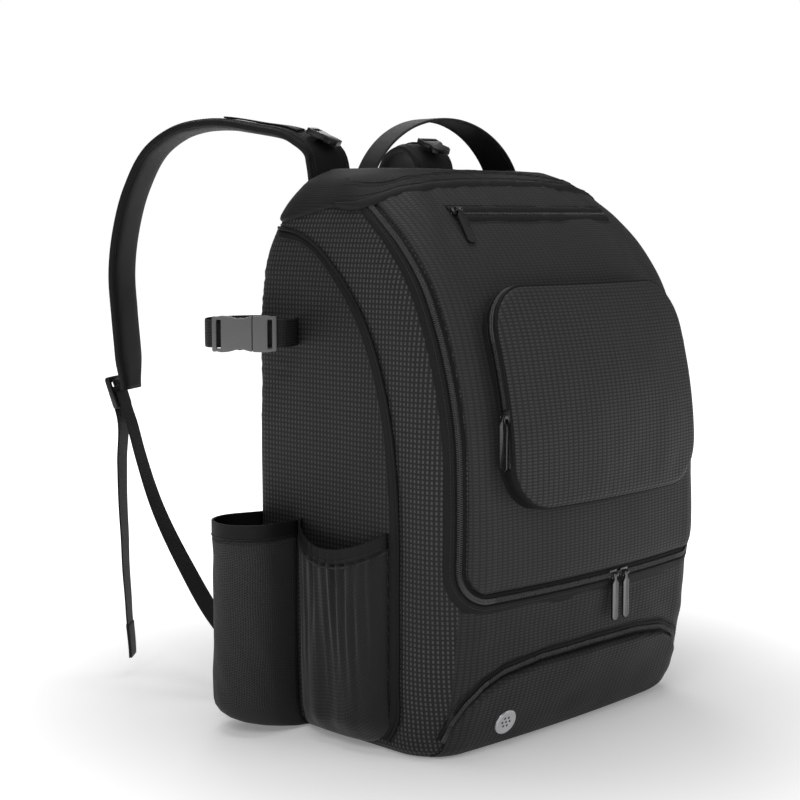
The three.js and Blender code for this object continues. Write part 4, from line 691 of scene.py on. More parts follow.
# %% Grid of the front flap
panel_cloth_thick = 1.6 * mm
flap_u = np.linspace(-1, 1, 141)
flap_v = np.linspace(0, 1, 161) ** 1.15
sides, rises = np.meshgrid(flap_u, flap_v)
flap_low = flap_foot + zip_half
tuck = 1 * mm  # cloth that goes under the next seam


def flap_half(z):
    """Half the flap's width round the body."""
    return zip_distance(z) - zip_half - corner_inset(z, flap_low, flap_corner - zip_half)


flap_top = np.full(flap_u.shape, 0.5)
for _ in range(8):
    flap_top = yoke_height(body_point(flap_u * flap_half(flap_top), flap_top)[:, 0]) - tuck
flap_z = flap_low + (flap_top[None, :] - flap_low) * rises
flap_d = sides * flap_half(flap_z)
print("flap:", round(2 * float(flap_half(0.3)), 3), "m round the body")

# %% Front flap
pocket_low = 226 * mm
flap_sink = -2 * mm  # the flap's edge is turned under by this much
flap_proud = 5 * mm
lip_proud = 4 * mm
gather_depth = 1.7 * mm
drape_depth = 1.6 * mm
crease_depth = 1.0 * mm
tug_depth = 1.1 * mm


def flap_folds(d, z):
    """Broad drape, creases under the yoke, and the fine tug at the flap's upper corner."""
    drape = ripple((d + 0.6 * z) / 0.06, (z - 0.4 * d) / 0.13, 4.0)
    crease = ripple((d - 0.9 * z) / 0.024, (z + 0.5 * d) / 0.08, 5.0) * smoothstep((z - 0.38) / 0.08)
    corner = np.exp(-(((d + 0.13) / 0.05) ** 2) - ((z - 0.44) / 0.06) ** 2)
    tug = ripple((d + 1.1 * z) / 0.013, (d - z) / 0.09, 6.0) * corner
    return drape_depth * drape + crease_depth * crease + tug_depth * tug


def flap_out(d, z, top):
    """How far the flap stands out: rolled at its edge, proud at its foot, gathered under the yoke."""
    edge = np.minimum(flap_half(z) - np.abs(d), z - flap_low)
    lip = np.clip(1 - (z - flap_foot) / (pocket_low - flap_foot), 0, 1)
    out = flap_sink + flap_proud * rolled(edge / (7 * mm)) + lip_proud * lip * rolled(edge / (22 * mm))
    gather = np.exp((z - top) / (22 * mm)) * (0.4 + 0.6 * smoothstep(np.abs(d) / 0.09))
    gather = gather * ripple(d / (11 * mm), z / 0.09, 3.0) * rolled(edge / (10 * mm))
    return out + gather_depth * gather + flap_folds(d, z) * rolled(edge / (26 * mm))


flap_points = lay(flap_d, flap_z, flap_out(flap_d, flap_z, flap_top[None, :]))
flap_form = skin(flap_points, np.stack([flap_d, cloth_rise(flap_z)], axis=-1))
piece(flap_form, "front_flap_cloth", front_dobby, ["front_flap"], thick=panel_cloth_thick)

# %% Lower front
low_half = 172 * mm
low_least = 8 * mm  # height of the panel where the shoe zipper comes closest to the main one
low_sink = -1.5 * mm
low_proud = 2.6 * mm
sag_depth = 1.3 * mm

low_u = np.linspace(-1, 1, 121)
sides, rises = np.meshgrid(low_u, np.linspace(0, 1, 41))
low_top = flap_foot - zip_half + tuck
low_start = np.minimum(shoe_height(low_u * low_half) + zip_half - tuck, low_top - low_least)[None, :]
low_z = low_start + (low_top - low_start) * rises
low_d = sides * zip_distance(low_z)
low_edge = np.minimum(low_top - low_z, low_z - low_start)
low_edge = np.minimum(zip_distance(low_z) - np.abs(low_d), low_edge)
low_sag = ripple(low_d / 0.06, low_z / 0.02, 8.0)
low_sag = low_sag + 0.6 * ripple((low_d + low_z) / 0.03, low_z / 0.03, 9.0)
low_out = low_sink + low_proud * rolled(low_edge / (6 * mm))
low_out = low_out + sag_depth * low_sag * rolled(low_edge / (20 * mm))
low_form = skin(lay(low_d, low_z, low_out), np.stack([low_d, cloth_rise(low_z)], axis=-1))
piece(low_form, "lower_front_cloth", lower_dobby_painted_shade, ["lower_front"], thick=panel_cloth_thick)

# %% Shoe flap
shoe_low = 1.5 * mm
shoe_side = 3 * mm  # the flap ends this far inside its zipper's ends
shoe_sink = -2 * mm


def shoe_swell(z):
    """How far the shoe flap bulges at a height."""
    return 0.6 * mm + 7.4 * mm * np.clip(z / shoe_top, 0, 1) ** 0.8


sides, rises = np.meshgrid(np.sin(np.linspace(-1, 1, 141) * quarter), np.linspace(0, 1, 45))
shoe_x = sides * (shoe_half - shoe_side)
shoe_high = np.maximum(shoe_height(shoe_x) - zip_half + 2 * tuck, shoe_foot + tuck)
shoe_z = shoe_low + (shoe_high - shoe_low) * rises
shoe_edge = (shoe_high - shoe_z) * (0.35 + 0.65 * np.clip(shoe_high / shoe_top, 0, 1))
shoe_out = shoe_sink + (shoe_swell(shoe_z) - shoe_sink) * rolled(shoe_edge / (5 * mm))
shoe_sag = ripple(shoe_x / 0.045, shoe_z / 0.03, 11.0) * smoothstep(shoe_z / 0.02)
shoe_out = shoe_out + sag_depth * shoe_sag * rolled(shoe_edge / (16 * mm))
shoe_points = lay(front_distance(shoe_x, shoe_z), shoe_z, shoe_out)
shoe_form = skin(shoe_points, np.stack([shoe_x, cloth_rise(shoe_z)], axis=-1))
piece(shoe_form, "shoe_flap_cloth", lower_dobby_painted_shade, ["shoe_flap"], thick=panel_cloth_thick)

# %% [markdown]
# ## Side panels
# Each side has a large inset panel with an arched edge, outlined by black piping. Its rows follow the
# arch's own points, so the edge is smooth instead of stepped. Behind the strap loop the cloth is
# drawn together in short level folds.

# %% Arch of the side panel
panel_rear = 101 * mm
panel_front = 85 * mm
panel_top = 470 * mm
panel_foot = 7 * mm
arch = {
    "y": (-1.06, -0.68, -0.34, 0, 0.3, 0.57, 0.75, 0.88, 0.96, 1, 1, 1, 0.97, 0.8),
    "rise": (1, 0.99, 0.965, 0.922, 0.87, 0.8, 0.725, 0.64, 0.545, 0.44, 0.306, 0.153, 0.068, 0.026),
}


def through(points, count):
    """A smooth line of so many points through the given ones."""
    points = np.asarray(points, float)
    along = lengths_of(points)
    at = np.linspace(0, along[-1], count)
    return np.stack([smooth_through(along, column, at) for column in points.T], axis=-1)


def spaced(line, step):
    """The same line with points a step apart."""
    line = np.asarray(line, float)
    along = lengths_of(line)
    at = np.linspace(0, along[-1], max(2, round(along[-1] / step) + 1))
    return np.stack([np.interp(at, along, column) for column in line.T], axis=-1)


arch_points = np.array([arch["y"], arch["rise"]]).T * np.array([-panel_front, panel_top])
arch_line = through(arch_points, 110)
print("arch:", round(float(lengths_of(arch_line)[-1]), 3), "m long")

# %% Side panels


def mirrored(points):
    """The same rows on the other side, in the order that keeps the outside out."""
    return points[:, ::-1] * np.array([-1, 1, 1])


def both_sides(points):
    """The right piece's rows and the left one's."""
    return (("right", points), ("left", mirrored(points)))


panel_gap = 3 * mm  # the panel ends this far before its rear seam
puff_depth = 2.2 * mm
pleat_depth = 1.6 * mm
panel_sag = 0.8 * mm

arch_y, arch_z = arch_line[::-1].T[..., None]
panel_u = np.linspace(0, 1, 61)[None, :]
panel_y = arch_y + (panel_rear - panel_gap - arch_y) * panel_u
panel_z = arch_z + 0 * panel_u
panel_edge = np.minimum(panel_y - arch_y, panel_top - panel_z + 4 * mm)
gathered = smoothstep((panel_z - 0.27) / 0.05) * smoothstep((0.455 - panel_z) / 0.03)
gathered = gathered * smoothstep((panel_y - 0.045) / 0.02)
pleats = pleat_depth * ripple(panel_z / (6 * mm), panel_y / 0.06, 21.0) * gathered
waves = panel_sag * ripple(panel_y / 0.05, panel_z / 0.08, 22.0) * smoothstep(panel_edge / 0.03)
puff = puff_depth * smoothstep(panel_edge / 0.05)
panel_out = -0.5 * mm + 1.5 * mm * rolled(panel_edge / (3 * mm)) + puff + pleats + waves
panel_points = lay(side_distance(panel_y, panel_z), panel_z, panel_out)
panel_cloth = np.stack([panel_y, panel_z], axis=-1)
for label, points in both_sides(panel_points):
    cloth = panel_cloth if label == "right" else panel_cloth[:, ::-1] * np.array([-1, 1])
    name, stands_for = f"side_panel_cloth_{label}", [f"side_panel_{label}"]
    piece(skin(points, cloth), name, panel_dobby, stands_for, thick=1.4 * mm)

# %% [markdown]
# ## Piping, seam tapes and stitches
# Black piping is a cord in a folded strip of cloth, sewn between two panels. A curve with a round
# bevel could make it, but a sweep also makes flat tapes, straps and rolled edges, so one helper
# serves all. Flat tapes follow a line on the body. Stitches are short bars with only a few faces.

# %% Sweeps
normal_weight = 0.1  # a normal joins its place for spacing, small beside the line's own length


def swept(line, section_points, normals, scale=None, closed=False):
    """Rows of points: the section at each step of a line, upright on the normals."""
    line, normals = np.asarray(line, float), np.asarray(normals, float)
    if closed:
        along = unit(np.roll(line, -1, axis=0) - np.roll(line, 1, axis=0))
    else:
        along = unit(np.gradient(line, axis=0))
    side = unit(np.cross(along, normals))
    out = np.cross(side, along)
    across, high = np.array(section_points, float).T
    scale = np.ones(len(line)) if scale is None else np.asarray(scale, float)
    rows = line[:, None] + side[:, None] * (across[None, :] * scale[:, None])[..., None]
    rows = rows + out[:, None] * high[None, :, None]
    return np.concatenate([rows, rows[:1]]) if closed else rows


def oval(width, thick, square=2.0, steps=16, lift=0.0):
    """A closed section between an ellipse and a rectangle, the first point repeated at its end."""
    turn = np.linspace(0, 2 * math.pi, steps + 1)
    ring = np.stack([np.cos(turn), np.sin(turn)], axis=-1)
    shaped = np.sign(ring) * np.abs(ring) ** (2 / square)
    return shaped * np.array([width, thick]) / 2 + np.array([0, lift])


def tube(line, radius, normals, sides=10, closed=False):
    """A bmesh of a round cord along a line."""
    rows = swept(line, oval(2 * radius, 2 * radius, steps=sides), normals, closed=closed)
    return skin(rows, wrap=True, caps=not closed)


def on_body(line, shift=0.0, out=0.0):
    """Points and outward directions of a line of (distance round, height), moved sideways and out."""
    line = np.asarray(line, float)
    way = unit(np.gradient(line, axis=0))
    moved = line + np.stack([way[:, 1], -way[:, 0]], axis=-1) * shift
    return lay(moved[:, 0], moved[:, 1], np.full(len(line), out)), body_normal(moved[:, 0], moved[:, 1])


def strip(line, section_points):
    """Rows of points of a tape on the body: each point of its section is (sideways, out)."""
    columns = [on_body(line, across, out)[0] for across, out in section_points]
    return np.stack(columns, axis=1)


def other_side(line):
    """A line of (distance round, height) on the left side, in the order that keeps the outside out."""
    return np.asarray(line)[::-1] * np.array([-1, 1])


def bars(spots, size, sides=6, batch=120):
    """A bmesh of small rods, each along the first direction of its spot: (place, along, normal).

    Rods are made in batches, because each operator takes longer on a mesh that has grown large.
    """
    form = bmesh.new()
    form.loops.layers.uv.new("cloth")
    length, radius = size
    for start in range(0, len(spots), batch):
        few = bmesh.new()
        for place, along, normal in spots[start : start + batch]:
            along = Vector(along).normalized()
            aside = Vector(normal).cross(along).normalized()
            turned = Matrix((aside, along.cross(aside), along)).transposed().to_4x4()
            turned.translation = Vector(place)
            rod = {"segments": sides, "radius1": radius, "radius2": radius, "depth": length}
            bmesh.ops.create_cone(few, cap_ends=True, matrix=turned, **rod)
        mesh = bpy.data.meshes.new("rods")
        few.to_mesh(mesh)
        few.free()
        form.from_mesh(mesh)
        bpy.data.meshes.remove(mesh)
    return form


def stepped(line, normals, step):
    """Places a step apart along a line, with the line's way and the outward way at each."""
    paired = spaced(np.concatenate([line, normals * normal_weight], axis=1), step)
    places = paired[:, :3]
    return places, unit(np.gradient(places, axis=0)), unit(paired[:, 3:])


def stitched(line, normals, pitch=3.4 * mm, lean=0.0):
    """Spots of a row of stitches along a line."""
    places, along, outs = stepped(line, normals, pitch)
    if lean:
        aside = unit(np.cross(along, outs))
        turn = np.where(np.arange(len(places)) % 2 == 0, lean, -lean)[:, None]
        along = unit(along * np.cos(turn) + aside * np.sin(turn))
    return list(zip(places, along, outs))


print("a round section has", len(oval(1, 1)) - 1, "sides")

# %% Piping and the tape beside it
arch_d = np.stack([side_distance(*arch_line.T), arch_line[:, 1]], axis=-1)[::-1]
arch_tape = np.array([(1.2, -1), (1.8, 1.3), (4.5, 1.7), (8.5, 2.3), (10.2, 2.3), (10.5, 0.6)]) * mm
piping_radius = 1.5 * mm
seams = []
for label, line in (("right", arch_d), ("left", other_side(arch_d))):
    places, outs = on_body(line, 0.0, 1.6 * mm)
    name = f"side_piping_{label}"
    piece(tube(places, piping_radius, outs), name, binding_weave, [name])
    piece(skin(strip(line, arch_tape)), f"arch_tape_{label}", plain_nylon)
    seams += stitched(*on_body(line, 9.2 * mm, 2.5 * mm))
    seams += stitched(*on_body(line, -3.4 * mm, 0.7 * mm))

# %% [markdown]
# ## Zippers
# The bag's zippers are nylon coil on woven tape. One tooth after another is far too fine to model
# fully, so each is a six-sided rod across the tape, in two rows half a step apart. At two millimetres
# a step they are coarser than the real 1.3, which lets them show.

# %% Zipper lines
tooth_step = 2.0 * mm


def teeth(line, normals, reach=2.5 * mm, step=tooth_step):
    """Spots of the coil's two rows along a line."""
    places, along, outs = stepped(line, normals, step / 2)
    aside = unit(np.cross(along, outs))
    way = np.where(np.arange(len(places)) % 2 == 0, 1.0, -1.0)[:, None]
    leaning = unit(aside * way + along * 0.25)
    return list(zip(places + aside * way * reach * 0.42, leaning, outs))


line_step = 4 * mm
zip_top = 490 * mm
coil_z = np.linspace(zip_top, flap_foot + flap_corner, 70)
corner_turn = np.linspace(0, quarter, 14)[1:]
corner_z = flap_foot + flap_corner * (1 - np.sin(corner_turn))
corner_d = zip_distance(corner_z) - flap_corner * (1 - np.cos(corner_turn))
foot_d = np.linspace(corner_d[-1], 0, 50)[1:]
half_d = np.concatenate([zip_distance(coil_z), corner_d, foot_d])
half_z = np.concatenate([coil_z, corner_z, np.full(len(foot_d), flap_foot)])
half_line = np.stack([half_d, half_z], axis=-1)
main_line = spaced(np.concatenate([half_line, other_side(half_line[:-1])]), line_step)
print("main zipper:", round(float(lengths_of(main_line)[-1]), 2), "m")

# %% Main zipper
flat_tape = np.array([(-6.5, -1.5), (-6, 0.9), (-3, 1), (3, 1), (6, 0.9), (6.5, -1.5)]) * mm
guard_edge = [(-6.5, 1.9), (-4.3, 2), (-3.9, 1.4), (-4.2, 0.5)]
guard = np.array([(-14.5, -0.8), (-14, 0.9), (-11, 1.3), *guard_edge]) * mm
tooth_size = (2.9 * mm, 0.7 * mm)  # length and radius
coil_out = 1.8 * mm

piece(skin(strip(main_line, flat_tape)), "main_zipper_tape", tape_weave, ["main_zipper"])
coil_spots = teeth(*on_body(main_line, 0.0, coil_out))
piece(bars(coil_spots, tooth_size), "main_zipper_coil", coil_nylon_painted_glint)
piece(skin(strip(main_line, guard)), "main_zipper_guard", plain_nylon)
seams += stitched(*on_body(main_line, -7.6 * mm, 1.7 * mm))

# %% Shoe zipper
shoe_zip_foot = 16 * mm
shoe_zip_x = np.sin(np.linspace(-1, 1, 160) * quarter) * shoe_half
shoe_zip_z = shoe_height(shoe_zip_x)
shoe_zip = np.stack([front_distance(shoe_zip_x, shoe_zip_z), shoe_zip_z], axis=-1)
shoe_zip = spaced(shoe_zip[shoe_zip_z > shoe_zip_foot], line_step)
piece(skin(strip(shoe_zip, flat_tape)), "shoe_zipper_tape", tape_weave, ["shoe_zipper"])
coil_spots = teeth(*on_body(shoe_zip, 0.0, coil_out))
piece(bars(coil_spots, tooth_size), "shoe_zipper_coil", coil_nylon_painted_glint)
seams += stitched(*on_body(shoe_zip, -8 * mm, 1.2 * mm))

# %% Top pocket zipper
top_zip_z = 481 * mm
top_zip_from = -104 * mm
top_zip_to = 124 * mm
top_coil_out = 3.5 * mm
half_welt = np.array([(0.9, 3.2), (2.2, 4.2), (4.4, 4.4), (6.2, 3.4), (6.8, 1.6)]) * mm
welt = np.concatenate([half_welt[::-1] * np.array([-1, 1]), half_welt])

top_x = np.linspace(top_zip_from, top_zip_to, 60)
top_z = np.full(len(top_x), top_zip_z)
top_line = np.stack([front_distance(top_x, top_z), top_z], axis=-1)
top_form = skin(strip(top_line, welt))
piece(top_form, "top_pocket_welt", plain_nylon, ["top_pocket_zipper"])
coil_spots = teeth(*on_body(top_line, 0.0, top_coil_out), reach=1.6 * mm)
piece(bars(coil_spots, (1.7 * mm, 0.5 * mm)), "top_pocket_coil", coil_nylon_painted_glint)
for beside_welt in (-7.6 * mm, 7.6 * mm):
    seams += stitched(*on_body(top_line, beside_welt, top_coil_out))

# %% [markdown]
# ## Small pocket
# The small pocket is a domed face on an upright wall, with its zipper round the wall. Seen from the
# front it is a rounded rectangle, so its face is made of rings that shrink towards the middle, and
# the wall is a band round the same outline. A cord is sewn where they meet.

# %% Outline of the small pocket
pocket_half = 131 * mm
pocket_high = 412 * mm
pocket_corner = 42 * mm
pocket_wall = 17.5 * mm


def rounded(left, low, right, high, radius, step):
    """Closed outline of a rounded rectangle from the middle of its foot, its first point repeated."""
    turn = np.linspace(0, quarter, 13)
    corners = []
    for x, y, start in (
        (right - radius, low + radius, -quarter),
        (right - radius, high - radius, 0),
        (left + radius, high - radius, quarter),
        (left + radius, low + radius, 2 * quarter),
    ):
        arc_turn = start + turn
        corners.append(np.stack([x + radius * np.cos(arc_turn), y + radius * np.sin(arc_turn)], axis=-1))
    middle = np.array([[(left + right) / 2, low]])
    return spaced(np.concatenate([middle, *corners, middle]), step)


pocket_outline = rounded(-pocket_half, pocket_low, pocket_half, pocket_high, pocket_corner, 4 * mm)
pocket_round = 2 * math.pi * lengths_of(pocket_outline) / lengths_of(pocket_outline)[-1]
print("pocket outline:", len(pocket_outline), "points")

# %% Face of the small pocket
rim_rise = 4.2 * mm
dome_rise = 4 * mm
face_sag = 1.2 * mm
pucker_depth = 0.8 * mm

pocket_size = np.array([pocket_half, (pocket_high - pocket_low) / 2])
pocket_centre = np.array([0.0, (pocket_low + pocket_high) / 2])
shares = 1 - np.linspace(0, 1, 40) ** 1.25
ring_xz = pocket_centre + (pocket_outline[None] - pocket_centre) * shares[:, None, None]
ring_x, ring_z = ring_xz[..., 0], ring_xz[..., 1]
dome = np.prod(np.clip(1 - ((ring_xz - pocket_centre) / pocket_size) ** 2, 0, 1), axis=-1)
inward = np.linalg.norm(pocket_outline[None] - ring_xz, axis=-1)
soft = ripple(ring_x / 0.05, ring_z / 0.06, 31.0) + 0.5 * ripple(ring_x / 0.02, ring_z / 0.04, 32.0)
# The puckers are read on a circle, so that they meet where the outline closes.
round_x, round_y = 20 * np.cos(pocket_round)[None, :], 20 * np.sin(pocket_round)[None, :]
puckers = ripple(round_x + 0 * inward, round_y + inward / 0.02, 34.0)
puckers = pucker_depth * puckers * smoothstep(inward / (4 * mm)) * np.exp(-inward / (14 * mm))
face_out = pocket_wall + rim_rise * rolled(inward / (9 * mm)) + dome_rise * dome**0.7
face_out = face_out + face_sag * soft * smoothstep(inward / 0.03) + puckers
face_points = lay(front_distance(ring_x, ring_z), ring_z, face_out)
pocket_form = skin(face_points, ring_xz, wrap=True)
bmesh.ops.recalc_face_normals(pocket_form, faces=pocket_form.faces)
if sum(face.normal.y for face in pocket_form.faces) > 0:
    bmesh.ops.reverse_faces(pocket_form, faces=pocket_form.faces)
piece(pocket_form, "small_pocket_face", pocket_dobby_painted_sheen, ["small_pocket"], thick=1.4 * mm)

# %% Wall of the small pocket
wall_table = {
    "out": (1.0, 3.4, 6, 9, 12, 15, 16.8, 17.4),
    "flare": (2.4, 0.9, 0.2, 0.4, 0.5, 0.4, 0.0, -1.4),
}
wall_pucker = 0.5 * mm
wall_foot = 2 * mm  # below this the wall is sewn flat


def at_outline(flare, out):
    """The outline widened by flare, and standing out from the body."""
    spot = pocket_outline + pocket_outward * flare
    return lay(front_distance(spot[:, 0], spot[:, 1]), spot[:, 1], np.full(len(spot), out))


straight = pocket_size - pocket_corner
from_centre = pocket_outline - pocket_centre
pocket_outward = unit(from_centre - np.clip(from_centre, -straight, straight))
wall_rows = []
for out, flare in zip(wall_table["out"], wall_table["flare"]):
    spread = ripple(16 * np.cos(pocket_round), 16 * np.sin(pocket_round) + out * mm / 0.02, 33.0)
    wall_rows.append(at_outline(flare * mm, out * mm + wall_pucker * spread * (out * mm > wall_foot)))
pocket_wall_form = skin(np.array(wall_rows)[:, ::-1], wrap=True)
piece(pocket_wall_form, "small_pocket_wall", plain_nylon, thick=1.2 * mm)

# %% Cord and zipper round the small pocket
pocket_zip_foot = 262 * mm  # the zipper starts this high on the left and lower on the right
pocket_zip_end = 328 * mm
pocket_zip_out = 13.2 * mm

rim = at_outline(0.0, pocket_wall + 0.6 * mm)
rim_out = body_normal(front_distance(*pocket_outline.T), pocket_outline[:, 1])
rim_form = tube(rim[:-1], piping_radius, rim_out[:-1], closed=True)
piece(rim_form, "small_pocket_cord", binding_weave)
outline_x, outline_z = pocket_outline.T
zipped = (outline_z > pocket_zip_foot) & ((outline_x < 0) | (outline_z > pocket_zip_end))
zip_rail = at_outline(0.9 * mm, pocket_zip_out)[zipped]
rail_normal = np.insert(pocket_outward, 1, 0, axis=1)[zipped]
tape_section = np.array([(-5, -0.6), (-4.6, 0.25), (0, 0.35), (4.6, 0.25), (5, -0.6)]) * mm
tape_form = skin(swept(zip_rail, tape_section, rail_normal))
piece(tape_form, "small_pocket_tape", tape_weave, ["small_pocket_zipper"])
coil_spots = teeth(zip_rail + rail_normal * 0.9 * mm, rail_normal, reach=2.2 * mm)
piece(bars(coil_spots, (2.4 * mm, 0.62 * mm)), "small_pocket_coil", coil_nylon_painted_glint)
seams += stitched(zip_rail + rail_normal * 0.8 * mm + rim_out[zipped] * -5.6 * mm, rail_normal)

# %% [markdown]
# ## Yoke
# A plain yoke caps the bag and hides the panels' top ends. Its front edge is turned into a padded
# roll. The edge is a curve in space, so it is found by casting rays from inside the bag and searching
# along each for the edge's height. The rows then climb from there to the middle of the roof.

# %% Edge of the yoke
cheek_top = 490 * mm
cheek_rear = 476 * mm
cheek_half = 118 * mm
cheek_start = 8 * mm
cheek_run = 78 * mm
ray_from = Vector((0, 0.045, 0.40))


def yoke_edge(spot):
    """Height of the yoke's edge at a place on the shell."""
    cheek = cheek_top + (cheek_rear - cheek_top) * smoothstep((spot.y - cheek_start) / cheek_run)
    share = smoothstep((abs(spot.x) - cheek_half + 14 * mm) / (28 * mm))
    share = share * smoothstep((spot.y + 12 * mm) / (30 * mm))
    return float(yoke_height(spot.x) * (1 - share) + cheek * share)


def shell_hit(around, lift):
    """Where a ray with these two angles leaves the shell."""
    level = math.cos(lift)
    way = Vector((level * math.sin(around), -level * math.cos(around), math.sin(lift)))
    return shell_tree.ray_cast(ray_from, way)[0]


def edge_lift(around):
    """Angle above level at which a ray meets the yoke's edge."""
    low, high = math.radians(-10), math.radians(88)
    for _ in range(18):
        middle = (low + high) / 2
        spot = shell_hit(around, middle)
        low, high = (low, middle) if spot.z > yoke_edge(spot) else (middle, high)
    return high


arounds = np.linspace(-math.pi, math.pi, 241)
edge_lifts = [edge_lift(around) for around in arounds[:-1]]
edge_lifts = np.array([*edge_lifts, edge_lifts[0]])
print("yoke edge found on", len(edge_lifts) - 1, "rays")

# %% Roof of the yoke
yoke_shares = np.linspace(0, 1, 40) ** 1.5
roof = []
for share in yoke_shares:
    lifts = edge_lifts + (quarter - edge_lifts) * share
    roof.append([shell_hit(around, lift) for around, lift in zip(arounds, lifts)])
roof = np.array(roof)
turned = np.gradient(roof, axis=1)
turned[:, 0] = turned[:, -1] = roof[:, 1] - roof[:, -2]
roof_normal = unit(np.cross(turned, np.gradient(roof, axis=0)))
near_top = smoothstep((yoke_shares - 0.8) / 0.15)[:, None, None]
roof_normal = unit(roof_normal * (1 - near_top) + np.array([0, 0, 1]) * near_top)
behind = measured(roof)[..., 1]
print("roof rows reach back", round(float(behind[-1].max()), 3), "m")

# %% Yoke
seam_back = 24 * mm  # from the yoke's edge to its second seam
seam_depth = 1.2 * mm
yoke_pucker = 1.1 * mm
yoke_dent = 1.2 * mm
yoke_fill = 3.3 * mm

facing = smoothstep((0.02 - roof[0, :, 1]) / 0.04)[None, :]
groove = -seam_depth * np.exp(-(((behind - seam_back) / (1.6 * mm)) ** 2)) * facing
pucker = ripple(14 * np.cos(arounds) + 0 * behind, 14 * np.sin(arounds) + behind / 0.05, 41.0)
pucker = pucker * np.exp(-np.abs(behind - seam_back) / (13 * mm)) * (0.3 + 0.7 * facing)
dent = ripple(roof[..., 0] / 0.06, roof[..., 1] / 0.05, 42.0) * smoothstep(behind / 0.03)
yoke_out = 0.5 * mm + yoke_fill * rolled(behind / (5 * mm)) + groove
yoke_out = yoke_out + yoke_pucker * pucker + yoke_dent * dent
yoke_points = roof + roof_normal * yoke_out[..., None]
yoke_cloth = np.stack([roof[..., 0], roof[..., 1] + roof[0, :, 2] - roof[..., 2]], axis=-1)
yoke = piece(skin(yoke_points, yoke_cloth, wrap=True), "top_yoke_cloth", roof_nylon, ["top_yoke"])

# %% Roll at the yoke's front edge
roll_end = 20 * mm
roll_fold_depth = 0.9 * mm
front_part = roof[0, :, 1] < roll_end
roll_line = roof[0][front_part]
roll_out = roof_normal[0][front_part]
stations = np.arange(len(roll_line))
taper = np.minimum(stations, stations[::-1]) / 12
swell = rolled(taper) * (1 + 0.1 * ripple(lengths_of(roll_line) / (8 * mm), 0 * taper, 43.0))
roll_rows = swept(roll_line + roll_out * 1.2 * mm, oval(11 * mm, 9 * mm), roll_out, scale=swell)
circling = np.linspace(0, 2 * math.pi, roll_rows.shape[1])[None, :]
roll_along = lengths_of(roll_line)[:, None]
roll_folds = ripple(roll_along / (6 * mm) + np.cos(circling), 1.5 * np.sin(circling), 44.0)
roll_rows = roll_rows + roll_out[:, None] * roll_fold_depth * roll_folds[..., None]
piece(skin(roll_rows, wrap=True, caps=True), "top_yoke_roll", roof_nylon)
front_columns = np.flatnonzero(front_part)
for shift in (7.5 * mm, seam_back - 3 * mm, seam_back + 3 * mm):
    rows = [int(np.searchsorted(behind[:, column], shift)) for column in front_columns]
    seams += stitched(yoke_points[rows, front_columns] + roll_out * 0.2 * mm, roll_out)

# %% [markdown]
# ## Handle
# The grab handle is one wide webbing that stands up in an arch. Flat webbing has no twist of its own,
# so it needs only a thin section along a line and a line of stitches near each edge.

# %% Ribbons


def ribbon(line, normals, width, thick, lift=0.0, scale=None, square=7.0):
    """A bmesh of flat webbing along a line, with rounded edges."""
    rows = swept(line, oval(width, thick, square, steps=20, lift=lift + thick / 2), normals, scale)
    return skin(rows, wrap=True, caps=True)


def beside(line, normals, across, out):
    """A line moved across a ribbon and out from it."""
    along = unit(np.gradient(line, axis=0))
    side = unit(np.cross(along, normals))
    return line + side * across + np.cross(side, along) * out


webbing_thick = 1.8 * mm
webbing_wide = 25 * mm
print("webbing:", round(webbing_wide / mm), "x", round(webbing_thick / mm, 1), "mm")

# %% Grab handle
handle_half = 104 * mm
handle_foot = 500 * mm
handle_rise = 76 * mm
handle_y = 48 * mm
handle_wide = 36 * mm
handle_thick = 2.6 * mm
handle_lean = math.radians(16)

arc = np.linspace(0, math.pi, 65)
handle_z = handle_foot + handle_rise * np.sin(arc) ** 1.15
handle_line = np.stack([handle_half * np.cos(arc), 0 * arc + handle_y, handle_z], axis=-1)
twist = handle_lean * np.cos(arc)
width_way = np.stack([np.sin(twist), -np.cos(twist), 0 * twist], axis=-1)
handle_out = unit(np.cross(width_way, np.stack([-np.sin(arc), 0 * arc, np.cos(arc)], axis=-1)))
handle_form = ribbon(handle_line, handle_out, handle_wide, handle_thick, lift=-handle_thick / 2)
piece(handle_form, "grab_handle_webbing", handle_weave, ["grab_handle"])
for across in (-14.5 * mm, 14.5 * mm):
    seams += stitched(beside(handle_line, handle_out, across, 1.4 * mm), handle_out)

# %% [markdown]
# ## Bat sleeves
# An open mesh sleeve stands against each side. It is one sheet that runs from its rear seam round a
# wide bend to its front seam, and it is drawn flat against the bag at its foot. A tube would be too
# regular, so the sheet gets a level sag, and slanted folds where the cloth is drawn together low down.

# %% Bat sleeves
sleeve_x = 219 * mm
sleeve_y = 80 * mm
sleeve_radius = 35 * mm
sleeve_rear = 103 * mm
sleeve_thick = 1.5 * mm
sleeve_fold = 2.6 * mm
sleeve_sag = 0.8 * mm
sleeve_foot = 2 * mm
sleeve_top = 200 * mm
hem_height = 14 * mm


def side_seat(y, z, out=0.6 * mm):
    """Place on the right side at that y and height, moved out level."""
    y, z = np.broadcast_arrays(y, z)
    return body_point(side_distance(y, z), z) + np.array([1.0, 0, 0]) * np.asarray(out)[..., None]


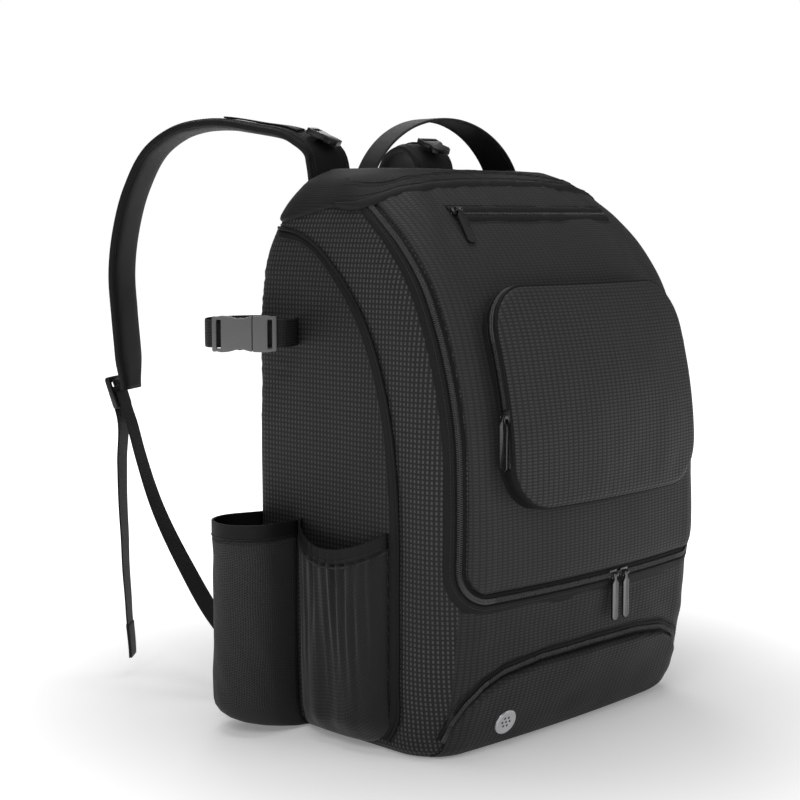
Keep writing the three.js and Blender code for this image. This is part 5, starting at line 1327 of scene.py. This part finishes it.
def sleeve_row(z, radius):
    """The sleeve's outer face at a height, from its rear seam to its front one."""
    turn = np.radians(np.linspace(112, -90, 71))
    rear = min(sleeve_rear, float(section(z)["back"]) - 7.5 * mm) + sleeve_thick
    front = sleeve_y - radius
    ring = np.stack([np.cos(turn), np.sin(turn), 0 * turn], axis=-1) * radius
    ring = ring + np.array([sleeve_x, sleeve_y, z])
    first, last = side_seat(np.array([rear, front]), z, np.full(2, sleeve_thick))
    ends = np.linspace(0, 1, 5)[:, None]
    rear_part = first + (ring[0] - first) * ends[:-1]
    front_part = (ring[-1] + (last - ring[-1]) * ends)[1:]
    plan = np.concatenate([rear_part, ring, front_part])
    seat = side_seat(np.linspace(rear, front, len(plan)), z, np.full(len(plan), sleeve_thick))
    lift = np.clip((z - sleeve_foot) / (28 * mm), 0, 1)
    return seat + (plan - seat) * (0.03 + 0.97 * math.sqrt(1 - (1 - lift) ** 2))


def sleeve_wall(levels, radius, folds):
    """Rows of the sleeve's outer face at these heights, with so much of their folds."""
    rows = np.array([sleeve_row(z, radius) for z in levels])
    around = np.linspace(0, 1, rows.shape[1])[None, :]
    high = np.asarray(levels)[:, None]
    slant = ripple((around * 0.25 + high * 0.8) / 0.03, (around * 0.25 - high) / 0.09, 51.0)
    level_sag = ripple(around * 3, high / 0.024, 52.0)
    held = np.sin(np.pi * around) ** 0.5 * smoothstep((high - 0.01) / 0.03)
    low_share = 0.3 + 0.7 * smoothstep((0.11 - high) / 0.08)
    move = folds * held * (sleeve_fold * slant * low_share + sleeve_sag * level_sag)
    outwards = (rows - np.array([sleeve_x - 20 * mm, sleeve_y, 0])) * np.array([1, 1, 0])
    return (rows + unit(outwards) * move[..., None])[:, ::-1]


print("sleeve row:", len(sleeve_row(sleeve_top, sleeve_radius)), "points")

# %% Sleeves and their hems
wall_z = np.concatenate([[2, 2.6, 3.6, 5, 7, 10, 14, 19, 25], np.linspace(31, 186, 52)]) * mm
sleeve = sleeve_wall(wall_z, sleeve_radius, 1.0)
hem_z = np.array([185.6, 186, 187, 190, 193, 196, 199, 200, 200.2]) * mm
hem = sleeve_wall(hem_z, sleeve_radius + 0.9 * mm, 0.0)
for label, points in both_sides(sleeve):
    name, stands_for = f"bat_sleeve_mesh_{label}", [f"bat_sleeve_{label}"]
    piece(skin(points), name, sleeve_mesh, stands_for, thick=1.4 * mm)
for label, points in both_sides(hem):
    name, stands_for = f"sleeve_hem_{label}", [f"sleeve_binding_{label}"]
    piece(skin(points), name, binding_weave, stands_for, thick=2.2 * mm)
    out_way = unit(np.cross(np.gradient(points[5], axis=0), upwards))
    seams += stitched(points[2] + out_way * 0.2 * mm, out_way)
    seams += stitched(points[2] - upwards * 4.5 * mm - out_way * 0.6 * mm, out_way, lean=0.9)

# %% [markdown]
# ## Bottle pockets
# The bottle pocket is stretch knit with elastic in its hem. The elastic gathers the cloth, so the
# pleats are deep below the hem and fade towards the sewn foot. Each pleat is a wave across the
# pocket. Noise shifts the waves so that no two are alike.

# %% Bottle pockets
bottle_rear = 40 * mm
bottle_front = -74 * mm
bottle_top = 203 * mm
bottle_dip = 18 * mm
bottle_bulge = 25 * mm
bottle_pleat = 2.3 * mm
bottle_slack = 5 * mm
pleat_count = 11


def bottle_wall(ups, columns, out, gather):
    """Rows of the pocket's outer face; ups are shares of its height and columns go from rear to front."""
    a, up = np.meshgrid(columns, ups)
    arch_share = np.clip(np.sin(np.pi * a), 0, 1)
    y = bottle_rear + (bottle_front - bottle_rear) * a
    top = bottle_top - bottle_dip * arch_share**0.8
    foot = (3 + 24 * a**6) * mm
    z = foot + (top - foot) * up
    belly = arch_share**0.6 * np.sin(quarter * np.minimum(1, up / 0.14)) ** 0.8
    shift = 0.35 * ripple(a * 5, up * 2.2, 61.0)
    wave = np.cos(2 * np.pi * (pleat_count * a + shift))
    wave = wave * (0.5 + 0.8 * ripple(a * 9, up * 1.5, 62.0)) + 0.35 * ripple(a * 30, up * 2.5, 63.0)
    pleat = bottle_pleat * smoothstep((up - 0.12) / 0.6) * arch_share**0.6 * wave
    slack = smoothstep((0.85 - up) / 0.5) * smoothstep(up / 0.1) * arch_share
    slack = bottle_slack * slack * ripple(a * 5.5 - up * 1.2, up * 1.1, 64.0)
    bulge = out + bottle_bulge * belly * (0.7 + 0.3 * up) + gather * (pleat + slack)
    return side_seat(y, z, 0.6 * mm + bulge)


print("pleats below the hem:", pleat_count)

# %% Pockets and their hems
bottle_columns = np.linspace(0, 1, 181)
hem_share = 1 - hem_height / (bottle_top - 3 * mm)
bottle_ups = np.linspace(0, 1, 60) ** 1.2 * hem_share
bottle = bottle_wall(bottle_ups, bottle_columns, 1.6 * mm, 1.0)[:, ::-1]
hem_ups = hem_share + (1 - hem_share) * np.array([-0.03, 0, 0.05, 0.2, 0.45, 0.7, 0.92, 1.0, 1.015])
bottle_hem = bottle_wall(hem_ups, bottle_columns, 2.5 * mm, 0.3)[:, ::-1]
for label, points in both_sides(bottle):
    name, stands_for = f"bottle_pocket_knit_{label}", [f"bottle_pocket_{label}"]
    piece(skin(points), name, stretch_knit, stands_for, thick=1.5 * mm)
for label, points in both_sides(bottle_hem):
    name, stands_for = f"bottle_hem_{label}", [f"pocket_binding_{label}"]
    piece(skin(points), name, binding_weave, stands_for, thick=2.3 * mm)
    out_way = unit(np.cross(np.gradient(points[4], axis=0), upwards))
    seams += stitched(points[3] + out_way * 0.2 * mm, out_way)
    zigzag = points[1] - upwards * 4 * mm - out_way * 0.3 * mm
    seams += stitched(zigzag, out_way, pitch=2.6 * mm, lean=0.8)

# %% [markdown]
# ## Bat straps and their buckles
# Higher up, a loop of webbing closes with a side-release buckle. The buckle's two halves are flat
# mouldings with a slot for the webbing and a waist where they are pressed to open. A plate is a grid
# with its slots left out, drawn out to its thickness, shaped, and bevelled on every sharp edge.

# %% Plates


def sharp_edges(form, degrees):
    """Edges between two faces that turn by more than so many degrees."""
    limit = math.radians(degrees)
    shared = [edge for edge in form.edges if len(edge.link_faces) == 2]
    return [edge for edge in shared if edge.calc_face_angle() > limit]


def plate(columns, rows, hole, thick, axes, shape, bevel):
    """A moulded plate: a grid with the cells in its hole left out, drawn out and bevelled."""
    columns, rows = np.array(columns) * mm, np.array(rows) * mm
    form = bmesh.new()
    form.loops.layers.uv.new("cloth")
    bmesh.ops.create_grid(form, x_segments=len(columns) - 1, y_segments=len(rows) - 1, size=0.5)
    for vert in form.verts:
        column, row = (vert.co.x + 0.5) * (len(columns) - 1), (vert.co.y + 0.5) * (len(rows) - 1)
        vert.co = (columns[round(column)], rows[round(row)], 0)
    left, low, right, high = np.array(hole) * mm
    gone = []
    for face in form.faces:
        middle = face.calc_center_median()
        if left < middle.x < right and low < middle.y < high:
            gone.append(face)
    bmesh.ops.delete(form, geom=gone, context="FACES")
    drawn = bmesh.ops.extrude_face_region(form, geom=form.faces[:])
    raised = [part for part in drawn["geom"] if isinstance(part, bmesh.types.BMVert)]
    bmesh.ops.translate(form, verts=raised, vec=(0, 0, thick))
    bmesh.ops.recalc_face_normals(form, faces=form.faces)
    for vert in form.verts:
        vert.co = shape(vert.co.copy(), vert.co.z > thick / 2)
    rounding = {"offset": bevel, "segments": 3, "profile": 0.5, "affect": "EDGES", "material": -1}
    bmesh.ops.bevel(form, geom=sharp_edges(form, 40), **rounding)
    across, up, out, start = axes
    turned = Matrix((across, up, out)).transposed().to_4x4()
    turned.translation = start
    bmesh.ops.transform(form, matrix=turned, verts=form.verts)
    if turned.determinant() < 0:
        bmesh.ops.reverse_faces(form, faces=form.faces)
    return form


print("edges sharper than 40 degrees are rounded")

# %% Buckles
buckle_out = Vector((math.sqrt(0.5), -math.sqrt(0.5), 0))
buckle_along = Vector((math.sqrt(0.5), math.sqrt(0.5), 0))
strap_z = 376 * mm
buckle_seat = 35.6 * mm
buckle_thick = 6.5 * mm


def waisted(at, outer):
    """The buckle's waist and its crowned face."""
    near = math.exp(-(((at.x - 4 * mm) / (8 * mm)) ** 2))
    corner = max(0.0, abs(at.x) - 24 * mm) / (5 * mm)
    at.y *= 1 - 0.17 * near - 0.07 * corner**2
    if outer:
        at.z += 0.9 * mm * (1 - (at.y / (17 * mm)) ** 2) - 1.2 * mm * (at.x / (29 * mm)) ** 4
    return at


plug_columns = (-29, -27.5, -25, -21, -18.5, -16, -13, -10, -7.4)
socket_columns = (-7, -5, -2, 1, 4, 7, 10, 13, 16, 18.5, 21, 25, 27.5, 29)
buckle_rows = (-16.5, -15, -13.1, -9, -4.5, 0, 4.5, 9, 13.1, 15, 16.5)
halves = {
    "buckle_plug": (plug_columns, (-25, -13.1, -21, 13.1)),
    "buckle_socket": (socket_columns, (21, -13.1, 25, 13.1)),
}
for side, label in ((1, "right"), (-1, "left")):
    flip = Vector((side, 1, 1))
    seat = Vector((sleeve_x, sleeve_y, strap_z)) + buckle_out * buckle_seat
    axes = (buckle_along * flip, Vector((0, 0, 1)), buckle_out * flip, seat * flip)
    for name, (columns, hole) in halves.items():
        form = plate(columns, buckle_rows, hole, buckle_thick, axes, waisted, bevel=0.9 * mm)
        piece(form, f"{name}_moulding_{label}", grey_acetal, [f"{name}_{label}"])

# %% Bat straps
strap_under = 33.5 * mm
round_radius = 33.5 * mm


def at_buckle(along, out=strap_under):
    """Place on the buckle's line, along it and out from the middle of the loop."""
    return np.array(Vector((sleeve_x, sleeve_y, strap_z)) + buckle_out * out + buckle_along * along)


def at_wall(y, lift):
    """Place on the side at the strap's height."""
    return side_seat(np.array([y]), np.array([strap_z]), np.array([0.6 * mm + lift]))[0]


def round_loop(degrees, extra):
    """Place on the loop's circle, moved out from it."""
    turn = math.radians(degrees)
    reach = round_radius + extra
    return np.array([sleeve_x + reach * math.cos(turn), sleeve_y + reach * math.sin(turn), strap_z])


loop_table = {"turn": (22, 48, 74, 100), "ease": (6, 3, 2, 1)}
front_wall = [at_wall(y * mm, webbing_thick) for y in (66, 58, 51)]
rear_loop = [round_loop(turn, ease * mm) for turn, ease in zip(loop_table["turn"], loop_table["ease"])]
strap_points = {
    "front": [*front_wall, at_buckle(-32 * mm), at_buckle(-16 * mm)],
    "rear": [at_buckle(14.5 * mm), at_buckle(31 * mm), *rear_loop, at_wall(101 * mm, 0)],
}
for name, points in strap_points.items():
    line = through(points, 41)
    normals = unit(np.cross(np.gradient(line, axis=0), upwards))
    if np.sum((line - np.array([sleeve_x, sleeve_y, strap_z])) * normals) < 0:
        normals = -normals
    for side, label in ((1, "right"), (-1, "left")):
        flip = np.array([side, 1, 1])
        form = ribbon(line * flip, normals * flip, webbing_wide, webbing_thick)
        bmesh.ops.recalc_face_normals(form, faces=form.faces)
        stands_for = [f"bat_strap_{name}_{label}"]
        piece(form, f"bat_strap_webbing_{name}_{label}", webbing_weave, stands_for)

# %% [markdown]
# ## Sliders, pulls and ladder locks
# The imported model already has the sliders, pulls and locks in their true sizes. Only their edges are
# too sharp: a cast or moulded edge is always rounded, and that thin highlight is what tells the eye
# that a part is metal or plastic. A copy of each is merged, its flat triangles joined, and bevelled.

# %% Dressed fittings


def dressed(source, name, finish, bevel, body="bag", sink=None):
    """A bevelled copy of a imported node. sink is the rim and depth of its two largest faces."""
    form = bmesh.new()
    form.from_mesh(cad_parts[source].data)
    form.loops.layers.uv.new("cloth")
    bmesh.ops.remove_doubles(form, verts=form.verts, dist=merge_reach)
    flat_enough = math.radians(2)
    bmesh.ops.dissolve_limit(form, angle_limit=flat_enough, verts=form.verts, edges=form.edges)
    bmesh.ops.recalc_face_normals(form, faces=form.faces)
    if sink:
        rim, depth = sink
        broad = sorted(form.faces, key=lambda face: face.calc_area())[-2:]
        bmesh.ops.inset_individual(form, faces=broad, thickness=rim, depth=-depth)
    rounding = {"offset": bevel, "segments": 2, "profile": 0.5, "affect": "EDGES", "material": -1}
    bmesh.ops.bevel(form, geom=sharp_edges(form, 35), clamp_overlap=True, **rounding)
    return piece(form, name, finish, [source], body)


pull_sink = (1.4 * mm, 0.35 * mm)
for label in ("main_left", "main_right", "top_pocket", "small_pocket"):
    slider, pull = f"{label}_slider", f"{label}_pull"
    dressed(slider, slider + "_casting", black_zinc, 0.5 * mm)
    dressed(pull, pull + "_casting", black_zinc, 0.4 * mm, f"{label}_tab", pull_sink)
for fitting, bevel in (("ladder_lock", 0.7 * mm), ("sternum_buckle", 0.6 * mm)):
    for label in ("left", "right"):
        name = f"{fitting}_moulding_{label}"
        dressed(f"{fitting}_{label}", name, black_acetal, bevel)

# %% Vent
vent_x = -104 * mm
vent_z = 29 * mm
vent_d = front_distance(np.array([vent_x]), np.array([vent_z]))
vent_out = body_normal(vent_d, vent_z)[0]
vent_at = lay(vent_d, vent_z, shoe_swell(vent_z) + 0.2 * mm)[0]
vent_way = Vector(vent_out)
vent_across = Vector(upwards).cross(vent_way).normalized()
vent_turn = Matrix((vent_across, vent_way.cross(vent_across), vent_way)).transposed().to_4x4()
vent_turn.translation = vent_at
vent_form = bmesh.new()
vent_form.loops.layers.uv.new("cloth")
rim_profile = {
    "radius": (0, 7.5, 8.6, 10.6, 11.9, 12.5, 12.5),
    "height": (1.1, 1.1, 1.5, 2.0, 1.5, 0.4, -1.0),
}
rim_verts = []
for radius, height in zip(rim_profile["radius"], rim_profile["height"]):
    rim_verts.append(vent_form.verts.new((radius * mm, 0, height * mm)))
rim_edges = [vent_form.edges.new(pair) for pair in zip(rim_verts, rim_verts[1:])]
turning = {"cent": (0, 0, 0), "axis": (0, 0, 1), "angle": 2 * math.pi, "steps": 48, "use_merge": True}
bmesh.ops.spin(vent_form, geom=rim_verts + rim_edges, **turning)
bmesh.ops.remove_doubles(vent_form, verts=vent_form.verts, dist=merge_reach)
bmesh.ops.recalc_face_normals(vent_form, faces=vent_form.faces)
bmesh.ops.transform(vent_form, matrix=vent_turn, verts=vent_form.verts)
piece(vent_form, "vent_disc", vent_metal, ["vent_eyelet"])

# %% Holes of the vent
hole_ring = 4.6 * mm
hole_spots = [(0.0, 0.0)]
for turn in np.arange(6) * math.pi / 3:
    hole_spots.append((hole_ring * math.cos(turn), hole_ring * math.sin(turn)))
disc = {"segments": 16, "radius1": 1.2 * mm, "radius2": 1.2 * mm, "depth": 0.6 * mm}
holes = bmesh.new()
holes.loops.layers.uv.new("cloth")
for x, y in hole_spots:
    place = vent_turn @ Matrix.Translation((x, y, 0.85 * mm))
    bmesh.ops.create_cone(holes, cap_ends=True, matrix=place, **disc)
piece(holes, "vent_holes", vent_hole_painted_shade)

# %% [markdown]
# ## Shoulder straps
# Each shoulder strap is foam between two cloths with a binding sewn round its edge. Its line is a
# curve in an upright plane, and its width turns from level at the bag to square with that plane. The
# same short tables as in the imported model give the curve, so the fittings sit on it.

# %% Strap lines
strap_rise = 573 * mm
straps = {
    "left": {
        "side": -1,
        "lean": 0.55,
        "reach": 233 * mm,
        "rail": (4, 7),
        "out": (0.031, 0.031, 0.032, 0.055, 0.15, 0.33, 0.54, 0.7, 0.82, 0.92, 0.975, 1, 0.992, 0.978, 0.966),
        "rise": (0.822, 0.87, 0.91, 0.947, 0.974, 0.99, 1, 0.988, 0.957, 0.89, 0.817, 0.735, 0.672, 0.6, 0.53),
    },
    "right": {
        "side": 1,
        "lean": 0.1,
        "reach": 84 * mm,
        "rail": (5, 9),
        "out": (0.094, 0.094, 0.098, 0.16, 0.36, 0.64, 0.86, 0.97, 1, 0.99, 0.95, 0.91),
        "rise": (0.822, 0.87, 0.905, 0.94, 0.963, 0.955, 0.915, 0.84, 0.75, 0.66, 0.58, 0.515),
    },
}
pad_width = 54 * mm
pad_thick = 11 * mm
lock_face = 2.8 * mm
lower_run = {"out": (0.93, 0.885, 0.79, 0.59, 0.42, 0.21), "drop": (0.13, 0.23, 0.405, 0.644, 0.806, 0.92)}
down = np.array([0, 0, -1.0])


def strap_frame(row):
    """A strap's plane: its outward way, its level width and its line."""
    way = unit(np.array([row["side"] * row["lean"], 1, 0]))
    root = np.array([row["side"] * 75 * mm, 113 * mm, 0])
    points = root + np.array(row["out"])[:, None] * row["reach"] * way
    points[:, 2] = np.array(row["rise"]) * strap_rise
    across = np.array([way[1], -way[0], 0])
    line = through(points, 121)
    share = np.linspace(0, 1, 121)[:, None]
    level = 1 - smoothstep((share - 0.12) / 0.22)
    width = across * (1 - level) + np.array([1.0, 0, 0]) * level
    return way, across, line, unit(np.cross(width, np.gradient(line, axis=0)))


for label, row in straps.items():
    row["way"], row["across"], row["line"], row["normal"] = strap_frame(row)
print("left strap:", round(float(lengths_of(straps["left"]["line"])[-1]), 3), "m")

# %% Padded straps
for label, row in straps.items():
    line, normal = row["line"], row["normal"]
    swell = 1 - 0.28 * smoothstep((np.linspace(0, 1, 121) - 0.93) / 0.07)
    rows = swept(line, oval(pad_width - 3 * mm, pad_thick, 3.4, steps=32), normal, swell)
    circling = np.linspace(0, 2 * math.pi, 33)[None, :]
    quilt = ripple(lengths_of(line)[:, None] / 0.03 + np.cos(circling), 1.2 * np.sin(circling), 71.0)
    rows = rows + normal[:, None] * (0.5 * mm * quilt)[..., None]
    pad = piece(skin(rows, wrap=True, caps=True), f"shoulder_strap_pad_{label}", plain_nylon, [f"shoulder_strap_{label}"])
    for edge, part in ((-1, "inner"), (1, "outer")):
        rail = beside(line, normal, edge * 25.3 * mm, 0)
        rail = line + (rail - line) * swell[:, None]
        bound = skin(swept(rail, oval(4.2 * mm, 6.2 * mm, 2.6, steps=12), normal), wrap=True, caps=True)
        piece(bound, f"strap_binding_{part}_{label}", binding_weave)
        seams += stitched(beside(line, normal, edge * 21 * mm, 4.6 * mm)[6:-6], normal[6:-6])

# %% Lock webbing, tails and lower webbing


def lock_place(row, below, out):
    """Place on the ladder lock, below its middle and out from it."""
    lean = math.radians(-18)
    lock_down = down * math.cos(lean) + row["way"] * math.sin(lean)
    lock_out = row["way"] * math.cos(lean) - down * math.sin(lean)
    middle = row["line"][-1] + row["way"] * 14.5 * mm + down * 4 * mm
    return middle + lock_down * below + lock_out * out


def in_plane(line, across):
    """Normals of webbing whose width lies along across."""
    return unit(np.cross(np.broadcast_to(across, line.shape), np.gradient(line, axis=0)))


for label, row in straps.items():
    side, way, across = row["side"], row["way"], row["across"]
    last = [np.interp(share * 120, np.arange(121), np.arange(121)) for share in (0.905, 0.955, 1)]
    points = [row["line"][round(i)] + row["normal"][round(i)] * 5.9 * mm for i in last]
    points += [lock_place(row, -12.75 * mm, -4.6 * mm), lock_place(row, -5.1 * mm, -4.6 * mm)]
    line = through(points, 30)
    form = ribbon(line, in_plane(line, across), 25 * mm, 1.8 * mm)
    piece(form, f"lock_webbing_strap_{label}", webbing_weave, [f"lock_webbing_{label}"])

    turn = lock_place(row, 21 * mm, lock_face)
    points = [lock_place(row, 0, lock_face), lock_place(row, 10.2 * mm, lock_face), turn]
    for share in np.arange(1, 7) / 6:
        spot = turn + way * (3 * math.sin(math.pi * share) - 8 * share) * mm
        spot[2] = (turn[2] - 12 * mm) * (1 - share) + 20 * mm * share
        points.append(spot)
    line = through(points, 90)
    normals = in_plane(line, across)
    shares = np.clip((lengths_of(line) / lengths_of(line)[-1] - 0.08) / 0.92, 0, 1)
    turn_by = np.radians(-14 * side) * shares
    cos, sin = np.cos(turn_by), np.sin(turn_by)
    x, y = normals[:, 0].copy(), normals[:, 1].copy()
    normals[:, 0], normals[:, 1] = x * cos - y * sin, x * sin + y * cos
    sway = ripple(shares * 5, shares * 0, 72.0 + side)[:, None] * 2 * mm * shares[:, None]
    line = line + normals * sway
    piece(ribbon(line, normals, 25 * mm, 1.8 * mm), f"strap_tail_webbing_{label}", webbing_weave, [f"strap_tail_{label}"])
    fold = slice(len(line) - 12, len(line))
    piece(ribbon(line[fold] , normals[fold], 26 * mm, 3.6 * mm, lift=-0.9 * mm), f"strap_tail_fold_{label}", webbing_weave)
    for across_by in (-9 * mm, 9 * mm):
        seams += stitched(beside(line[fold], normals[fold], across_by, 2.8 * mm), normals[fold])

    anchor = np.array([side * 148 * mm, 113 * mm, 22 * mm])
    start = lock_place(row, 0, -lock_face)
    rise = start - anchor
    points = [lock_place(row, below, -lock_face) for below in (-2 * mm, 10.2 * mm, 21 * mm)]
    for out, drop in zip(lower_run["out"], lower_run["drop"]):
        points.append(np.array([anchor[0] + rise[0] * out, anchor[1] + rise[1] * out, start[2] - rise[2] * drop]))
    lead = unit(points[-1] - anchor)
    wide = unit(np.array([lead[1], -lead[0], 0]))
    wing_up = unit(np.cross(wide, -lead))
    points[-1] = points[-1] + wing_up * 4 * mm
    points.append(anchor + lead * 13.6 * mm + wing_up * 4 * mm)
    line = through(points, 100)
    shares = smoothstep((lengths_of(line)[:, None] / lengths_of(line)[-1] - 0.15) / 0.6)
    normals = unit(np.cross(across * (1 - shares) + wide * shares, np.gradient(line, axis=0)))
    form = ribbon(line, normals, 25 * mm, 1.8 * mm, lift=-1.8 * mm)
    piece(form, f"lower_webbing_{label}", webbing_weave, [f"strap_webbing_{label}"])
    wing = np.array([anchor + lead * reach for reach in np.linspace(-11.3, 34, 12) * mm])
    form = ribbon(wing, np.broadcast_to(wing_up, wing.shape), 40 * mm, 2.8 * mm, lift=-1.4 * mm, scale=np.linspace(1, 0.72, 12))
    piece(form, f"strap_anchor_patch_{label}", plain_nylon, [f"strap_anchor_{label}"])
    for across_by in (-12 * mm, 12 * mm):
        seams += stitched(beside(wing[1:-1], np.broadcast_to(wing_up, wing.shape)[1:-1], across_by, 1.6 * mm), np.broadcast_to(wing_up, wing.shape)[1:-1])

    first, final = [round(station / 20 * 120) for station in row["rail"]]
    rail, rail_out = row["line"][first : final + 1], row["normal"][first : final + 1]
    form = ribbon(rail, rail_out, 20 * mm, 1.8 * mm, lift=5.7 * mm)
    piece(form, f"sternum_rail_{label}", webbing_weave, [f"sternum_webbing_{label}"])

# %% [markdown]
# ## Back panel
# The back of the bag is a foam panel under spacer mesh, stitched down along channels so that air
# can pass. Its four cushions are inflated by a cloth simulation, because a formula never finds
# the small puckers along a stitched seam.

# %% Inflating a panel


def inflated(made, held, pressure, cap, stretch=0.02):
    """Lets a sheet swell under pressure with its held vertices fixed, and caps how far it moves."""
    start = np.array([vert.co for vert in made.data.vertices])
    group = made.vertex_groups.new(name="held")
    group.add([int(i) for i in held], 1.0, "REPLACE")
    cloth = made.modifiers.new("cloth", "CLOTH")
    made.modifiers.move(len(made.modifiers) - 1, 0)
    cloth.settings.vertex_group_mass = "held"
    cloth.settings.use_pressure = True
    cloth.settings.uniform_pressure_force = pressure
    cloth.settings.effector_weights.gravity = 0
    cloth.settings.shrink_min = -stretch
    cloth.settings.tension_stiffness = 25
    cloth.settings.compression_stiffness = 25
    cloth.settings.bending_stiffness = 0.4
    cloth.settings.quality = 6
    for frame_number in range(1, 21):
        scene.frame_set(frame_number)
    posed = made.evaluated_get(bpy.context.evaluated_depsgraph_get())
    others = [modifier for modifier in made.modifiers if modifier.type != "CLOTH"]
    for modifier in others:
        modifier.show_viewport = False
    posed = made.evaluated_get(bpy.context.evaluated_depsgraph_get())
    swollen = np.array([vert.co for vert in posed.to_mesh().vertices])
    move = swollen - start
    far = np.linalg.norm(move, axis=1, keepdims=True)
    move = move * (cap * np.tanh(far / cap) / np.maximum(far, 1e-9))
    posed.to_mesh_clear()
    made.modifiers.remove(cloth)
    for modifier in others:
        modifier.show_viewport = True
    made.data.vertices.foreach_set("co", (start + move).ravel())
    made.data.update()
    scene.frame_set(1)
    return float(far.max())


# %% Back cushions
pad_half = 152 * mm
pad_low = 58 * mm
pad_high = 460 * mm
pad_radius = 45 * mm
pad_seat = 113.3 * mm
channel_half = 7 * mm
pad_middle = (pad_low + pad_high) / 2
base_outline = rounded(-pad_half + 2 * mm, pad_low + 2 * mm, pad_half - 2 * mm, pad_high - 2 * mm, pad_radius, 5 * mm)
base_rings = np.array(
    [
        np.stack([base_outline[:, 0] * s_, pad_seat + np.full(len(base_outline), d), pad_middle + (base_outline[:, 1] - pad_middle) * s_], axis=-1)
        for s_, d in ((1, 0.2 * mm), (1, 2.6 * mm), (0.985, 3.6 * mm), (0.7, 3.6 * mm), (0.35, 3.6 * mm), (0.0, 3.6 * mm))
    ]
)
base_form = skin(base_rings, np.stack([base_rings[..., 0], base_rings[..., 2]], axis=-1), wrap=True, caps=True)
back = piece(base_form, "back_panel_backing", plain_nylon, ["back_panel"])

cushion_corner = 34 * mm
cushions = {
    "upper_left": (-pad_half + 5 * mm, pad_middle + channel_half, -channel_half, pad_high - 5 * mm),
    "upper_right": (channel_half, pad_middle + channel_half, pad_half - 5 * mm, pad_high - 5 * mm),
    "lower_left": (-pad_half + 5 * mm, pad_low + 5 * mm, -channel_half, pad_middle - channel_half),
    "lower_right": (channel_half, pad_low + 5 * mm, pad_half - 5 * mm, pad_middle - channel_half),
}
for name, (left, low, right, high) in cushions.items():
    middle_x, middle_z = (left + right) / 2, (low + high) / 2
    half_x, half_z = (right - left) / 2, (high - low) / 2
    u, v = np.meshgrid(np.sin(np.linspace(-1, 1, 45) * quarter), np.sin(np.linspace(-1, 1, 57) * quarter))
    bend = np.clip(np.abs(v * half_z) - half_z + cushion_corner, 0, cushion_corner)
    wide = half_x - cushion_corner + np.sqrt(cushion_corner**2 - bend**2)
    inside = np.minimum((1 - np.abs(u)) * wide, (1 - np.abs(v)) * half_z)
    height = 3.4 * mm + 3.4 * mm * rolled(inside / (16 * mm))
    points = np.stack([middle_x + u * wide, pad_seat + height, middle_z + v * half_z], axis=-1)[:, ::-1]
    form = skin(points)
    outline = rounded(left, low, right, high, cushion_corner, 5 * mm)
    cushion = piece(form, f"back_cushion_{name}", pad_mesh, thick=1.0 * mm, rounds=1)
    held = [i for i, vert in enumerate(cushion.data.vertices) if vert.co.y < pad_seat + 3.6 * mm]
    print(name, "moved", round(inflated(cushion, held, 0.6, 4 * mm) / mm, 2), "mm")
    edge = np.stack([outline[:, 0], np.full(len(outline), pad_seat + 4 * mm), outline[:, 1]], axis=-1)
    seams += stitched(edge, np.broadcast_to(np.array([0, 1.0, 0]), edge.shape))
edge_outs = np.broadcast_to(np.array([0, 1.0, 0]), (len(base_outline), 3))
binding_line = np.stack([base_outline[:, 0], np.full(len(base_outline), pad_seat + 2.4 * mm), base_outline[:, 1]], axis=-1)
piece(tube(binding_line[:-1], 2.2 * mm, edge_outs[:-1], closed=True), "back_panel_binding", binding_weave)

# %% [markdown]
# ## Finish
# The stitches gathered on the way become one piece.

# %% Finish
piece(bars(seams, (2.4 * mm, 0.32 * mm), sides=5), "seam_stitches", sewing_thread)
print("stitches:", len(seams))
